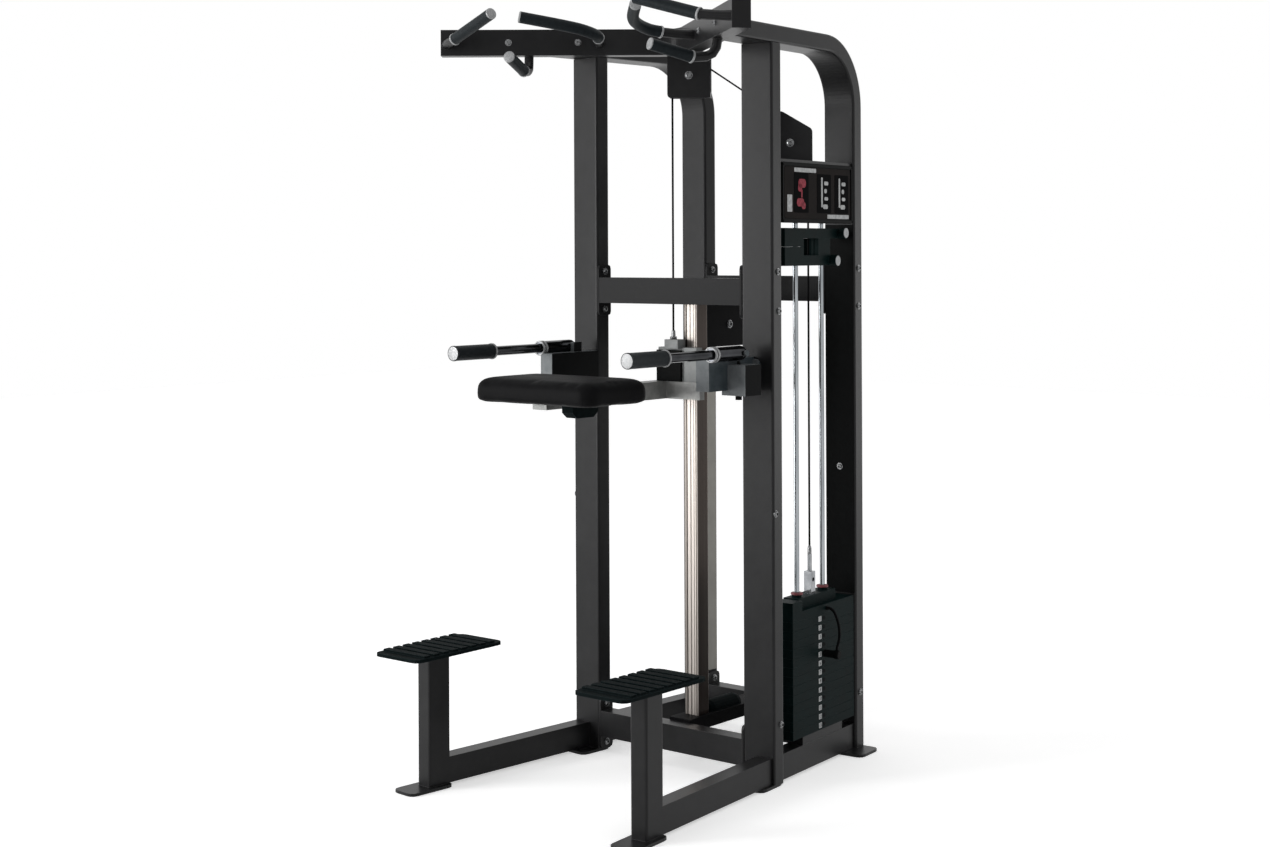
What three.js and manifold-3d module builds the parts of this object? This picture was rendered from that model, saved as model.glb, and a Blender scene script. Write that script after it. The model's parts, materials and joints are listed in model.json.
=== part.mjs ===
// Assisted chin-up and dip machine: two splayed side frames, a bent chin-up beam with six
// grips, folding dip arms, a counterweighted knee pad on a guide column and a weight stack.
// Millimetres, +Z up, +Y to the rear, the stack on the +X side, the floor at Z = 0.
import * as THREE from 'three';
import { mergeVertices } from 'three/addons/utils/BufferGeometryUtils.js';
import Module from 'manifold-3d';

const wasm = await Module();
wasm.setup();

// Fits and cuts
const seat = 0.3; // gap left between pieces that touch
const slide = 0.5; // radial clearance of a guide in its bore
const overrun = 20; // how far a cutting tool reaches past the piece it cuts
const roundSides = 16;
const fineSides = 20;
const cornerSteps = 3;

// Side frames
const frameWidth = 730.4; // across the front outer corners of the front uprights
const frameDepth = 473; // front of the front upright to front of the rear upright
const splay = THREE.MathUtils.degToRad(5); // each side frame turns in towards the rear
const uprightWidth = 100;
const uprightDepth = 50;
const tubeWall = 3;
const tubeCorner = 6;
const hoopTop = 2104;
const hoopBend = 200; // outer radius of the rear bend
const bendSteps = 10;
const footThickness = 8;
const footCorner = 22;
const middleFootReach = 65; // how far the middle foot stands out in front of the upright
const rearFootLength = 108;
const rearFootReach = 52; // how far the rear foot stands out beyond the hoop's outer face
const rearFootInset = 6; // in front of the hoop's rear face

// Floor rails, step posts and treads
const railWidth = 50;
const railHeight = 72;
const railInset = 9; // from the upright's outer face to the rail's
const postFront = 610; // from the upright's front face forward to the post's front
const postDepth = 75;
const stepFootWidth = 85;
const stepFootLength = 150;
const treadTop = 395;
const treadPlate = 9;
const treadRib = 6;
const treadWidth = 172;
const treadLength = 335;
const treadCorner = 25;
const treadOverhang = 127; // from the post's front to the tread's front
const treadRibCount = 8;
const treadRibShare = 0.62; // rib width as a share of the rib pitch
const treadShift = 23.5; // tread centre inboard of the post's centre

// Crossbars
const crossbarDepth = 50;
const crossbarHeight = 75;
const middleBarBottom = 1327;
const bottomBarBottom = 46;
const endPlateThickness = 7;
const endPlateHeight = 150;
const endPlateCorner = 12;

// Chin-up beam and handles
const beamDepth = 50;
const beamHeight = 75;
const beamDrop = 8; // the beam's underside lies this far below the hoop rails'
const beamApex = 45; // where the two front faces would meet, behind the uprights' front
const beamOverhang = 159.54; // each front end corner lies this far outside the side frame
const beamAngle = THREE.MathUtils.degToRad(40);
const beamBend = 60; // inner bend radius
const beamWindowWidth = 40; // opening from the beam into each hoop rail
const beamWindowHeight = 24;
const handleRadius = 13.5;
const gripRadius = 16.5;
const gripSocket = 25;
const ringLength = 5; // bare tube between the bend and the grip, under the silver ring
const sleeveSteps = 12;
const tubeSides = 12;

// Guide column and its base
const columnSize = 50;
const columnFront = 97;
const columnTopDrop = 2; // below the top of the middle crossbars
const columnRib = 3;
const columnRibCount = 3;
const baseWidth = 75;
const baseRise = 46; // above the underside of the bottom crossbars
const baseHeight = 37;
const topMemberWidth = 45;
const topMemberDrop = 5; // below the underside of the middle crossbars
const topMemberHeight = 125;
const spacerRise = 8;
const bumperLength = 170;
const bumperWidth = 56;
const bumperHeight = 29;
const bumperStart = 150;

// Pulleys and cable
const pulleyPlaneY = 99; // where the pulley plane crosses the middle of the machine
const cableRadius = 2.5;
const cableSides = 8;
const windRadius = 50; // pulley centre to cable centre
const pulleyFlange = 54;
const pulleyWidth = 20;
const pulleyGroove = 8;
const pulleyRoom = 2.5; // between the top pulley and the beam
const grooveRoom = 0.9; // between the cable and the bottom of the groove
const axleRadius = 8;
const hubShare = 1.6; // of the axle's radius
const cheekThickness = 5;
const cheekGap = 13; // half the room between the two cheeks of a housing
const topCheekHalf = 63;
const topCheekReach = 65.5; // below the pulley centre
const topCheekCorner = 12;
const stackCheekHalf = 63;
const stackCheekStart = 29; // left of the pulley centre
const stackCheekRise = 40; // above the pulley centre, at the right
const stackCheekPeak = 95;
const hangerThickness = 8;

// Weight tower, in the right side frame
const stackWidth = 94;
const stackInset = 3;
const stackFront = 107.5;
const stackRearGap = 8.5; // to the rear upright
const plateThickness = 25.4;
const plateCount = 13;
const liftedCount = 5;
const plateGroove = 1.2;
const topPlateThickness = 25;
const stackBase = 230; // length of the bar under the stack
const stackBaseHeight = 25.6;
const rodRadius = 7.5;
const rodFrontInset = 104.5; // from the front of the stack
const rodRearInset = 103.5;
const rodDepth = 50; // from the side frame's outer face in to the rods and the cable
const stemShift = 2; // in front of the middle of the rods
const stemRadius = 11;
const headHeight = 29;
const headFront = 53;
const headReach = 33; // in front of and behind the rods
const headWidth = 50;
const bushRadius = 14;
const bushHeight = 6;
const clevisWidth = 24;
const clevisHeight = 92.3;
const sleeveRadius = 6.5;
const sleeveLength = 49;
const pinRadius = 4;
const pinDepth = 75;
const pinHandleRadius = 11;
const pinHandleLength = 48;
const towerDrop = 404; // from the hoops' top to the underside of the tower's top bar
const towerTopHeight = 35.4;
const towerTopInner = 90;
const placardInset = 3;
const placardThickness = 6;
const placardDrop = 143; // below the underside of the top bar
const placardHeight = 170;
const placardMargin = 4;
const lanyardRadius = 2.4;
const lanyardSides = 8;
const lanyardSteps = 26;

// Add-on weights
const addOnWidth = 60;
const addOnInset = 20;
const addOnHeight = 29;
const addOnStart = 102;
const addOnDrop = 186; // below the underside of the tower's top bar
const addOnPitch = 78;
const upperAddOnGap = 38; // to the rear upright
const lowerAddOnGap = 88;
const addOnBlockLength = 106;
const addOnBlockDrop = 24; // the front block is split this far below the upper weight
const addOnRearGap = 110;
const addOnRearLength = 70;
const addOnPassage = 19;
const knobRadius = 16;
const knobReach = 22;

// Carriage and knee pad
const carriageLeft = 96;
const carriageRight = 45;
const carriageFront = 69;
const carriageRear = 178;
const carriageDrop = 97; // below the underside of the rear brace
const carriageHeight = 91;
const carriageWall = 5;
const carriageLid = 8;
const coverThickness = 9;
const coverRight = 7;
const anchorLeft = 62;
const anchorRight = 13;
const anchorFront = 55;
const anchorDepth = 35;
const anchorHeight = 23;
const rollerRadius = 10.5;
const rollerHalf = 22;
const rollerAxle = 4;
const armSize = 51;
const armLeft = 118.5;
const armFront = 320;
const crossBarRight = 56;
const crossBarDepth = 22;
const padSupportRight = 50;
const padSupportFront = 450;
const padSupportThickness = 8;
const padHalfWidth = 222;
const padFront = 602;
const padRear = 331;
const padDrop = 25; // below the carriage's underside
const padHeight = 60;
const padCrown = 9;
const padMiddleShare = 1 / 12; // last rise of the crown
const padCorner = 45;
const padBumperWidth = 38;
const padBumperFront = 441;
const padBumperRear = 335;
const padBumperDrop = 38;
const padBumperSideShare = 0.6; // height of its upright sides
const padBumperCornerShare = 1 / 6;

// Dip arms
const dipInset = 53.2; // from the front outer corner of the frame in to each arm
const dipHeight = 1200;
const dipPivot = -83;
const dipTip = -563;
const dipGripLength = 151;
const dipGripRadius = 21.5;
const dipRodRadius = 13.5;
const dipCollarRadius = 18;
const dipCollarLength = 18;
const dipCollarFront = -212;
const dipHubRadius = 20.5;
const dipPinRadius = 6;
const dipPinHeadShare = 1.5;
const dipClearance = 1.2;
const bracketInnerReach = 50; // inboard of the arm
const bracketStep = 6;
const bracketOuterReach = 54;
const bracketFront = -212;
const bracketDrop = 100; // below the arm
const bracketTopDrop = 14;
const bracketBlockFront = -129;
const bracketBlockRear = -57;
const bracketBlockDrop = 114;
const bracketBlockTopDrop = 30;
const bracketPlateWidth = 60;
const bracketPlateHeight = 88;
const bracketPlateDrop = 108;
const bracketPlateThickness = 8;
const bracketPlateCorner = 15;
const earThickness = 13;
const earHalf = 17;
const earRise = 14;
const lockPinAlong = 106;
const lockPinShift = 14; // outboard of the arm
const lockPinRadius = 4.5;
const lockKnobRadius = 9;
const lockKnobHeight = 12;

// Finishes
function finish(color, roughness, metalness) {
  return () => new THREE.MeshStandardMaterial({ color, roughness, metalness });
}
const blackPaint = finish('#2b2d2f', 0.5, 0.3);
const plateBlack = finish('#141a1a', 0.45, 0.4);
const rubber = finish('#1c2125', 0.75, 0);
const chrome = finish('#c9ccce', 0.15, 1);
const polished = finish('#d7d2cd', 0.25, 0.9);
const vinyl = finish('#1b1b1c', 0.45, 0);
const greyPaint = finish('#a9abac', 0.4, 0.3);
const plastic = finish('#101112', 0.35, 0);

// Geometry helpers
const at = (x, y, z) => new THREE.Vector3(x, y, z);

function block(x, y, z) {
  const geometry = new THREE.BoxGeometry(x[1] - x[0], y[1] - y[0], z[1] - z[0]);
  return geometry.translate((x[0] + x[1]) / 2, (y[0] + y[1]) / 2, (z[0] + z[1]) / 2);
}

function rod(radius, from, to, sides = roundSides) {
  const direction = to.clone().sub(from);
  const geometry = new THREE.CylinderGeometry(radius, radius, direction.length(), sides);
  const turn = new THREE.Quaternion().setFromUnitVectors(at(0, 1, 0), direction.clone().normalize());
  const middle = from.clone().add(to).multiplyScalar(0.5);
  return geometry.applyQuaternion(turn).translate(middle.x, middle.y, middle.z);
}

// A closed shape from points; a point with a radius gets a rounded corner
function roundedShape(points) {
  const shape = new THREE.Shape();
  points.forEach(([x, y, radius = 0], index) => {
    const before = points[(index + points.length - 1) % points.length];
    const after = points[(index + 1) % points.length];
    const here = new THREE.Vector2(x, y);
    const inward = new THREE.Vector2(before[0], before[1]).sub(here).normalize();
    const outward = new THREE.Vector2(after[0], after[1]).sub(here).normalize();
    const half = Math.acos(THREE.MathUtils.clamp(inward.dot(outward), -1, 1)) / 2;
    const reach = radius / Math.tan(half);
    const start = here.clone().addScaledVector(inward, reach);
    const end = here.clone().addScaledVector(outward, reach);
    if (index === 0) shape.moveTo(start.x, start.y);
    else shape.lineTo(start.x, start.y);
    if (radius > 0) shape.quadraticCurveTo(x, y, end.x, end.y);
  });
  shape.closePath();
  return shape;
}

function extrude(shape, depth, curveSegments = cornerSteps) {
  return new THREE.ExtrudeGeometry(shape, { depth, bevelEnabled: false, curveSegments });
}

function rectanglePoints(x, y, radius) {
  return [[x[0], y[0], radius], [x[1], y[0], radius], [x[1], y[1], radius], [x[0], y[1], radius]];
}

// An upright plate or tube section on the XY plane, from z[0] to z[1]
function prism(x, y, z, radius, curveSegments = cornerSteps) {
  const shape = roundedShape(rectanglePoints(x, y, radius));
  return extrude(shape, z[1] - z[0], curveSegments).translate(0, 0, z[0]);
}

function sweep(radius, points, sides, steps) {
  const circle = new THREE.Shape().absarc(0, 0, radius, 0, Math.PI * 2);
  const path = points.length === 2
    ? new THREE.LineCurve3(points[0], points[1])
    : new THREE.CatmullRomCurve3(points, false, 'centripetal');
  return new THREE.ExtrudeGeometry(circle, { steps, curveSegments: sides, extrudePath: path });
}

function lathe(profile, sides = fineSides) {
  return new THREE.LatheGeometry(profile.map(([r, y]) => new THREE.Vector2(r, y)), sides);
}

function solid(geometry) {
  const bare = geometry.clone();
  for (const name of ['normal', 'uv']) bare.deleteAttribute(name);
  const merged = mergeVertices(bare);
  const vertProperties = new Float32Array(merged.attributes.position.array);
  const triVerts = new Uint32Array(merged.index.array);
  return new wasm.Manifold(new wasm.Mesh({ numProp: 3, vertProperties, triVerts }));
}

function geometryOf(body) {
  const mesh = body.getMesh();
  const geometry = new THREE.BufferGeometry();
  geometry.setAttribute('position', new THREE.BufferAttribute(new Float32Array(mesh.vertProperties), 3));
  geometry.setIndex([...mesh.triVerts]);
  geometry.computeVertexNormals();
  return geometry;
}

function join(first, ...others) {
  return geometryOf(others.reduce((body, other) => body.add(solid(other)), solid(first)));
}

function cut(first, ...tools) {
  return geometryOf(tools.reduce((body, tool) => body.subtract(solid(tool)), solid(first)));
}

function mirrored(geometry) {
  const flipped = geometry.index ? geometry.clone() : mergeVertices(geometry);
  flipped.scale(-1, 1, 1);
  const index = flipped.index.array;
  for (let corner = 0; corner < index.length; corner += 3) {
    [index[corner], index[corner + 1]] = [index[corner + 1], index[corner]];
  }
  flipped.computeVertexNormals();
  return flipped;
}

// Scene graph: the machine, and one turned group for each side frame. In a side group the
// right-hand coordinates are x = outwards from the outer face, y = rearwards, z = up.
const machine = new THREE.Group();
const sides = { left: new THREE.Group(), right: new THREE.Group() };
sides.right.position.x = frameWidth / 2;
sides.right.rotation.z = splay;
sides.left.position.x = -frameWidth / 2;
sides.left.rotation.z = -splay;
machine.add(sides.left, sides.right);
for (const group of Object.values(sides)) group.updateMatrix();

function piece(name, geometry, material, parent = machine) {
  const mesh = new THREE.Mesh(geometry, material());
  mesh.name = name;
  parent.add(mesh);
  return mesh;
}

// The same right-hand geometry on both sides
function pair(name, geometry, material, grouped = true) {
  piece(`${name}_right`, geometry, material, grouped ? sides.right : machine);
  piece(`${name}_left`, mirrored(geometry), material, grouped ? sides.left : machine);
}

const toMachine = (geometry) => geometry.applyMatrix4(sides.right.matrix);
const toSide = (geometry) => geometry.applyMatrix4(sides.right.matrix.clone().invert());

// Heights worked out from the frame
const hoopUnderside = hoopTop - uprightDepth;
const beamBottom = hoopUnderside - beamDrop;
const beamTop = beamBottom + beamHeight;
const columnTop = middleBarBottom + crossbarHeight - columnTopDrop;
const baseBottom = bottomBarBottom + baseRise;
const baseTop = baseBottom + baseHeight;
const topMemberTop = middleBarBottom - topMemberDrop;
const topMemberBottom = topMemberTop - topMemberHeight;
const carriageBottom = topMemberBottom - carriageDrop;
const padBottom = carriageBottom - padDrop;
const railTop = footThickness + seat + railHeight;
const stackBottom = railTop + seat + stackBaseHeight + seat;
const towerTopBottom = hoopTop - towerDrop;
const towerTopTop = towerTopBottom + towerTopHeight;
const topPulleyHeight = beamBottom - pulleyRoom - pulleyFlange;
const stackPulleyHeight = towerTopTop + seat * 2 + pulleyFlange;

// Weight tower in the right side frame. The cable comes down between the rods, and that point
// and the middle of the machine fix the plane of both pulleys.
const tower = sides.right;
const stackLength = frameDepth - stackFront - stackRearGap;
const stackX = [-stackInset - stackWidth, -stackInset];
const stackY = [stackFront, stackFront + stackLength];
const rodFront = stackY[0] + rodFrontInset;
const rodRear = stackY[1] - rodRearInset;
const rodMiddle = (rodFront + rodRear) / 2;
const stemAlong = rodMiddle - stemShift;
const pinHeight = stackBottom + plateThickness * (plateCount - liftedCount + 0.5);
const cableDrop = at(-rodDepth, rodMiddle, 0).applyMatrix4(sides.right.matrix);
const pulleyTurn = Math.atan2(cableDrop.y - pulleyPlaneY, cableDrop.x);
const stackPulleyAlong = Math.hypot(cableDrop.x, cableDrop.y - pulleyPlaneY) - windRadius;

// Side frames
function makeUprights() {
  const z = [footThickness / 2, hoopUnderside - seat];
  const outer = prism([-uprightWidth, 0], [0, uprightDepth], z, tubeCorner);
  const inner = block(
    [-uprightWidth + tubeWall, -tubeWall],
    [tubeWall, uprightDepth - tubeWall],
    [footThickness, hoopTop],
  );
  const foot = prism([-uprightWidth, 0], [-middleFootReach, uprightDepth], [0, footThickness], footCorner);
  pair('front_upright', cut(join(outer, foot), inner), blackPaint);
}

// Band of the hoop in the plane of the side frame, drawn as (rearwards, up)
function hoopShape(wall, front, bottom) {
  const rear = frameDepth + uprightDepth - wall;
  const bendCentre = frameDepth + uprightDepth - hoopBend;
  const bendHeight = hoopTop - hoopBend;
  const shape = new THREE.Shape();
  shape.moveTo(front, hoopUnderside + wall);
  shape.lineTo(bendCentre, hoopUnderside + wall);
  shape.absarc(bendCentre, bendHeight, hoopBend - uprightDepth + wall, Math.PI / 2, 0, true);
  shape.lineTo(frameDepth + wall, bottom);
  shape.lineTo(rear, bottom);
  shape.lineTo(rear, bendHeight);
  shape.absarc(bendCentre, bendHeight, hoopBend - wall, 0, Math.PI / 2, false);
  shape.lineTo(front, hoopTop - wall);
  shape.closePath();
  return shape;
}

// Stands a shape drawn as (rearwards, up) upright, spread outwards between x[0] and x[1]
function standing(shape, x, curveSegments, bevel = 0) {
  const geometry = new THREE.ExtrudeGeometry(shape, {
    depth: x[1] - x[0] - bevel * 2,
    bevelEnabled: bevel > 0,
    bevelThickness: bevel,
    bevelSize: bevel,
    bevelOffset: -bevel,
    bevelSegments: 2,
    curveSegments,
  });
  geometry.rotateX(Math.PI / 2).rotateZ(Math.PI / 2);
  return geometry.translate(x[0] + bevel, 0, 0);
}

// A block that fills everything in front of the beam's rear face on the right, plus a gap
function beamSide(gap) {
  const reach = beamArm * 2;
  const tool = block([-reach, reach], [-reach, beamDepth + gap], [0, hoopTop + beamHeight]);
  return tool.rotateZ(-beamAngle).translate(0, beamApex, 0);
}

function makeHoops() {
  const forward = -beamArm;
  const outer = standing(hoopShape(0, forward, footThickness / 2), [-uprightWidth, 0], bendSteps, tubeCorner);
  const inner = standing(
    hoopShape(tubeWall, forward - overrun, footThickness),
    [-uprightWidth + tubeWall, -tubeWall],
    bendSteps,
  );
  const rear = frameDepth + uprightDepth;
  const foot = prism(
    [-uprightWidth, rearFootReach],
    [rear - rearFootInset - rearFootLength, rear - rearFootInset],
    [0, footThickness],
    footCorner,
  );
  pair('hoop', cut(join(outer, foot), inner, toSide(beamSide(seat))), blackPaint);
}

function makeFloorRails() {
  const x = [-railInset - railWidth, -railInset];
  const bottom = footThickness + seat;
  const postMiddle = (x[0] + x[1]) / 2;
  const postBack = postDepth - postFront;
  const postTop = treadTop - treadRib - treadPlate - seat;
  const post = prism(x, [-postFront, postBack], [footThickness / 2, postTop], tubeCorner);
  const rail = block(x, [postBack - tubeCorner, -seat], [bottom, bottom + railHeight]);
  const footFront = -postFront - (stepFootLength - postDepth);
  const foot = prism(
    [postMiddle - stepFootWidth / 2, postMiddle + stepFootWidth / 2],
    [footFront, postBack],
    [0, footThickness],
    footCorner,
  );
  const inside = [x[0] + tubeWall, x[1] - tubeWall];
  const railInside = [bottom + tubeWall, bottom + railHeight - tubeWall];
  const postHollow = block(inside, [tubeWall - postFront, postBack - tubeWall], [railInside[0], treadTop]);
  const railHollow = block(inside, [postBack - tubeWall * 2, 0], railInside);
  pair('step_frame', cut(join(post, rail, foot), postHollow, railHollow), blackPaint);

  const rear = [uprightDepth + seat, frameDepth - seat];
  const tube = block(x, rear, [bottom, bottom + railHeight]);
  const hollow = block(inside, [0, frameDepth + overrun], railInside);
  pair('rear_floor_rail', cut(tube, hollow), blackPaint);

  const middle = at(postMiddle, -postFront, 0).applyMatrix4(sides.right.matrix);
  const treadMiddle = middle.x - treadShift;
  const treadX = [treadMiddle - treadWidth / 2, treadMiddle + treadWidth / 2];
  const treadY = [middle.y - treadOverhang, middle.y - treadOverhang + treadLength];
  const base = prism(treadX, treadY, [treadTop - treadRib - treadPlate, treadTop - treadRib], treadCorner);
  const pitch = (treadLength - treadCorner * 2) / treadRibCount;
  const ribs = [];
  for (let row = 0; row < treadRibCount; row += 1) {
    const start = treadY[0] + treadCorner + pitch * (row + (1 - treadRibShare) / 2);
    const ribX = [treadX[0] + treadRib, treadX[1] - treadRib];
    ribs.push(block(ribX, [start, start + pitch * treadRibShare], [treadTop - treadRib * 2, treadTop]));
  }
  pair('step_tread', join(base, ...ribs), rubber, false);
}

// Crossbars with an end plate on the inner face of each side frame
const barMiddle = (along) => (
  at(-uprightWidth, along + uprightDepth / 2, 0).applyMatrix4(sides.right.matrix).y);
const frontBarBack = barMiddle(0) + crossbarDepth / 2;
const rearBarFront = barMiddle(frameDepth) - crossbarDepth / 2;

function makeCrossbar(name, along, bottom, ...welded) {
  const inner = -uprightWidth - seat;
  const y = [barMiddle(along) - crossbarDepth / 2, barMiddle(along) + crossbarDepth / 2];
  const z = [bottom, bottom + crossbarHeight];
  const bar = block([-frameWidth / 2, frameWidth / 2], y, z);
  const outside = [inner - endPlateThickness / 2, frameWidth];
  const beyond = toMachine(block(outside, [-frameWidth, frameWidth * 2], [0, hoopTop]));
  const plateBottom = bottom + (crossbarHeight - endPlateHeight) / 2;
  const shape = roundedShape(rectanglePoints(
    [along, along + uprightDepth],
    [plateBottom, plateBottom + endPlateHeight],
    endPlateCorner,
  ));
  const plate = toMachine(standing(shape, [inner - endPlateThickness, inner], 2));
  const trimmed = cut(bar, beyond, mirrored(beyond));
  piece(name, join(trimmed, plate, mirrored(plate), ...welded), blackPaint);
}

function makeCrossbars() {
  const half = topMemberWidth / 2;
  const spacer = block(
    [-half, half],
    [frontBarBack - tubeWall, columnFront - seat],
    [middleBarBottom + spacerRise, columnTop - seat],
  );
  makeCrossbar('crossbar_front_middle', 0, middleBarBottom, spacer);
  makeCrossbar('crossbar_rear_middle', frameDepth, middleBarBottom);
  makeCrossbar('crossbar_front_bottom', 0, bottomBarBottom);
  makeCrossbar('crossbar_rear_bottom', frameDepth, bottomBarBottom);
}

// Chin-up beam: bent in plan, with the handle tubes and the pulley hanger welded on
const beamArm = (frameWidth / 2 + beamOverhang) / Math.cos(beamAngle);
const alongArm = new THREE.Vector2(Math.cos(beamAngle), -Math.sin(beamAngle));
const offArm = new THREE.Vector2(Math.sin(beamAngle), Math.cos(beamAngle));

function beamShape(wall, extra) {
  const centre = beamApex - beamBend / Math.cos(beamAngle);
  const rearRadius = beamBend + beamDepth - wall;
  const end = (depth) => alongArm.clone().multiplyScalar(beamArm + extra)
    .addScaledVector(offArm, depth).add(new THREE.Vector2(0, beamApex));
  const front = end(wall);
  const back = end(beamDepth - wall);
  const shape = new THREE.Shape();
  shape.moveTo(back.x, back.y);
  shape.lineTo(front.x, front.y);
  shape.absarc(0, centre, beamBend + wall, Math.PI / 2 - beamAngle, Math.PI / 2 + beamAngle, false);
  shape.lineTo(-front.x, front.y);
  shape.lineTo(-back.x, back.y);
  shape.absarc(0, centre, rearRadius, Math.PI / 2 + beamAngle, Math.PI / 2 - beamAngle, true);
  shape.closePath();
  return shape;
}

// Handle centrelines on the right, as shares of the beam's arm: along it, behind its front face
// and above its middle. Each tube ends where its grip starts, and the grip runs on to the tip.
const handleShares = {
  end: {
    tube: [[0.98, 0.013, -0.007], [0.96, -0.043, -0.004]],
    grip: [[0.933, -0.105, 0.002], [0.761, -0.328, 0.084]],
  },
  under: {
    tube: [[0.629, 0.029, -0.031], [0.629, 0.025, -0.085], [0.63, 0.001, -0.118]],
    grip: [[0.644, -0.073, -0.129], [0.698, -0.257, -0.084]],
  },
  inner: {
    tube: [[0.327, 0.038, -0.008], [0.332, -0.055, -0.005]],
    grip: [
      [0.331, -0.134, 0.002], [0.346, -0.19, 0.011], [0.403, -0.247, 0.026],
      [0.49, -0.28, 0.042], [0.656, -0.3, 0.072],
    ],
  },
};
const beamMiddle = beamBottom + beamHeight / 2;
const handlePoint = ([along, off, rise]) => at(
  alongArm.x * beamArm * along + offArm.x * beamArm * off,
  beamApex + alongArm.y * beamArm * along + offArm.y * beamArm * off,
  beamMiddle + beamArm * rise,
);
const handles = Object.fromEntries(Object.entries(handleShares).map(([name, { tube, grip }]) => (
  [name, { tube: [...tube, grip[0]].map(handlePoint), grip: grip.map(handlePoint) }])));

function pathStart(points) {
  const direction = points[1].clone().sub(points[0]).normalize();
  return { start: points[0], direction };
}

function makeGrip(points) {
  const { start, direction } = pathStart(points);
  const steps = points.length > 2 ? sleeveSteps : 1;
  const sleeveStart = start.clone().addScaledVector(direction, ringLength);
  const sleeve = sweep(gripRadius, [sleeveStart, ...points.slice(1)], roundSides / 2, steps);
  const socketEnd = start.clone().addScaledVector(direction, gripSocket + seat);
  const socketStart = start.clone().addScaledVector(direction, -overrun);
  return cut(sleeve, rod(handleRadius + seat, socketStart, socketEnd));
}

function makeHandleTube(handle) {
  const { start, direction } = pathStart(handle.grip);
  const stubEnd = start.clone().addScaledVector(direction, gripSocket);
  const stubStart = start.clone().addScaledVector(direction, -ringLength);
  const bend = sweep(handleRadius, handle.tube, tubeSides / 2, sleeveSteps / 2);
  return join(bend, rod(handleRadius, stubStart, stubEnd, tubeSides));
}

function pulleyPlane(geometry, along, height) {
  geometry.rotateX(Math.PI / 2);
  geometry.translate(along, 0, height).rotateZ(pulleyTurn);
  return geometry.translate(0, pulleyPlaneY, 0);
}

// Slab drawn in the pulley plane, standing between two distances across it
function planeSlab(shape, across, curveSegments = cornerSteps) {
  return pulleyPlane(extrude(shape, across[1] - across[0], curveSegments).translate(0, 0, across[0]), 0, 0);
}

function makeBeam() {
  const outer = extrude(beamShape(0, 0), beamHeight, bendSteps / 2).translate(0, 0, beamBottom);
  const inner = extrude(beamShape(tubeWall, -tubeWall), beamHeight - tubeWall * 2, bendSteps / 2)
    .translate(0, 0, beamBottom + tubeWall);
  const hangerShape = roundedShape(rectanglePoints(
    [-topCheekHalf, topCheekHalf],
    [beamBottom, beamBottom + hangerThickness],
    0,
  ));
  const hangerHalf = cheekGap + cheekThickness;
  const hanger = planeSlab(hangerShape, [-hangerHalf, hangerHalf * 2]);
  const tubes = [];
  for (const handle of Object.values(handles)) {
    const tube = makeHandleTube(handle);
    tubes.push(tube, mirrored(tube));
  }
  const railMiddle = (hoopUnderside + hoopTop) / 2;
  const across = [-(uprightWidth + beamWindowWidth) / 2, -(uprightWidth - beamWindowWidth) / 2];
  const windowZ = [railMiddle - beamWindowHeight / 2, railMiddle + beamWindowHeight / 2];
  const railX = (frameWidth - uprightWidth) / 2;
  const beamRear = beamApex + beamDepth / Math.cos(beamAngle) - railX * Math.tan(beamAngle);
  const window = toMachine(block(across, [beamRear - beamWindowWidth, 0], windowZ));
  const hollow = cut(outer, inner, window, mirrored(window));
  const lattice = tubes.reduce((body, tube) => body.add(solid(tube)), solid(hollow).add(solid(hanger)));
  piece('chin_up_beam', geometryOf(lattice.subtract(solid(inner))), blackPaint);
  for (const [name, handle] of Object.entries(handles)) {
    pair(`chin_grip_${name}`, makeGrip(handle.grip), rubber, false);
  }
}

// Guide column with its base, bumper and rear brace
function makeColumn() {
  const back = columnFront + columnSize;
  const half = columnSize / 2;
  const shape = roundedShape(rectanglePoints([-half, half], [columnFront, back], tubeWall));
  shape.holes.push(new THREE.Path(rectanglePoints(
    [tubeWall - half, half - tubeWall],
    [columnFront + columnRib + tubeWall, back - tubeWall],
    0,
  ).map(([x, y]) => new THREE.Vector2(x, y))));
  const height = columnTop - baseTop - seat;
  const tube = extrude(shape, height).translate(0, 0, baseTop + seat);
  const grooves = [];
  const pitch = columnSize / (columnRibCount + 1);
  for (let line = 1; line <= columnRibCount; line += 1) {
    const middle = pitch * line - half;
    grooves.push(block(
      [middle - columnRib / 2, middle + columnRib / 2],
      [0, columnFront + columnRib / 2],
      [0, columnTop + overrun],
    ));
  }
  piece('guide_column', cut(tube, ...grooves), polished);

  const baseX = [-baseWidth / 2, baseWidth / 2];
  const baseY = [frontBarBack + seat, rearBarFront - seat];
  piece('column_base', block(baseX, baseY, [baseBottom, baseTop]), blackPaint);

  const memberX = [-topMemberWidth / 2, topMemberWidth / 2];
  const brace = block(memberX, [back + seat, rearBarFront - seat], [topMemberBottom, topMemberTop]);
  const plate = block(
    memberX,
    [rearBarFront - seat - endPlateThickness, rearBarFront - seat],
    [topMemberBottom, middleBarBottom + crossbarHeight],
  );
  const saddleY = [back + seat, back + seat + endPlateThickness];
  const saddle = block(memberX, saddleY, [topMemberTop - overrun, columnTop]);
  piece('column_rear_brace', join(brace, plate, saddle), blackPaint);

  const straight = bumperLength - bumperWidth;
  const bumper = new THREE.CapsuleGeometry(bumperWidth / 2, straight, cornerSteps, fineSides);
  bumper.scale(1, 1, bumperHeight * 2 / bumperWidth);
  bumper.translate(0, bumperStart + bumperLength / 2, baseTop + seat);
  const below = block([-bumperWidth, bumperWidth], [0, frameDepth], [0, baseTop + seat]);
  piece('base_bumper', cut(bumper, below), rubber);
}

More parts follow.
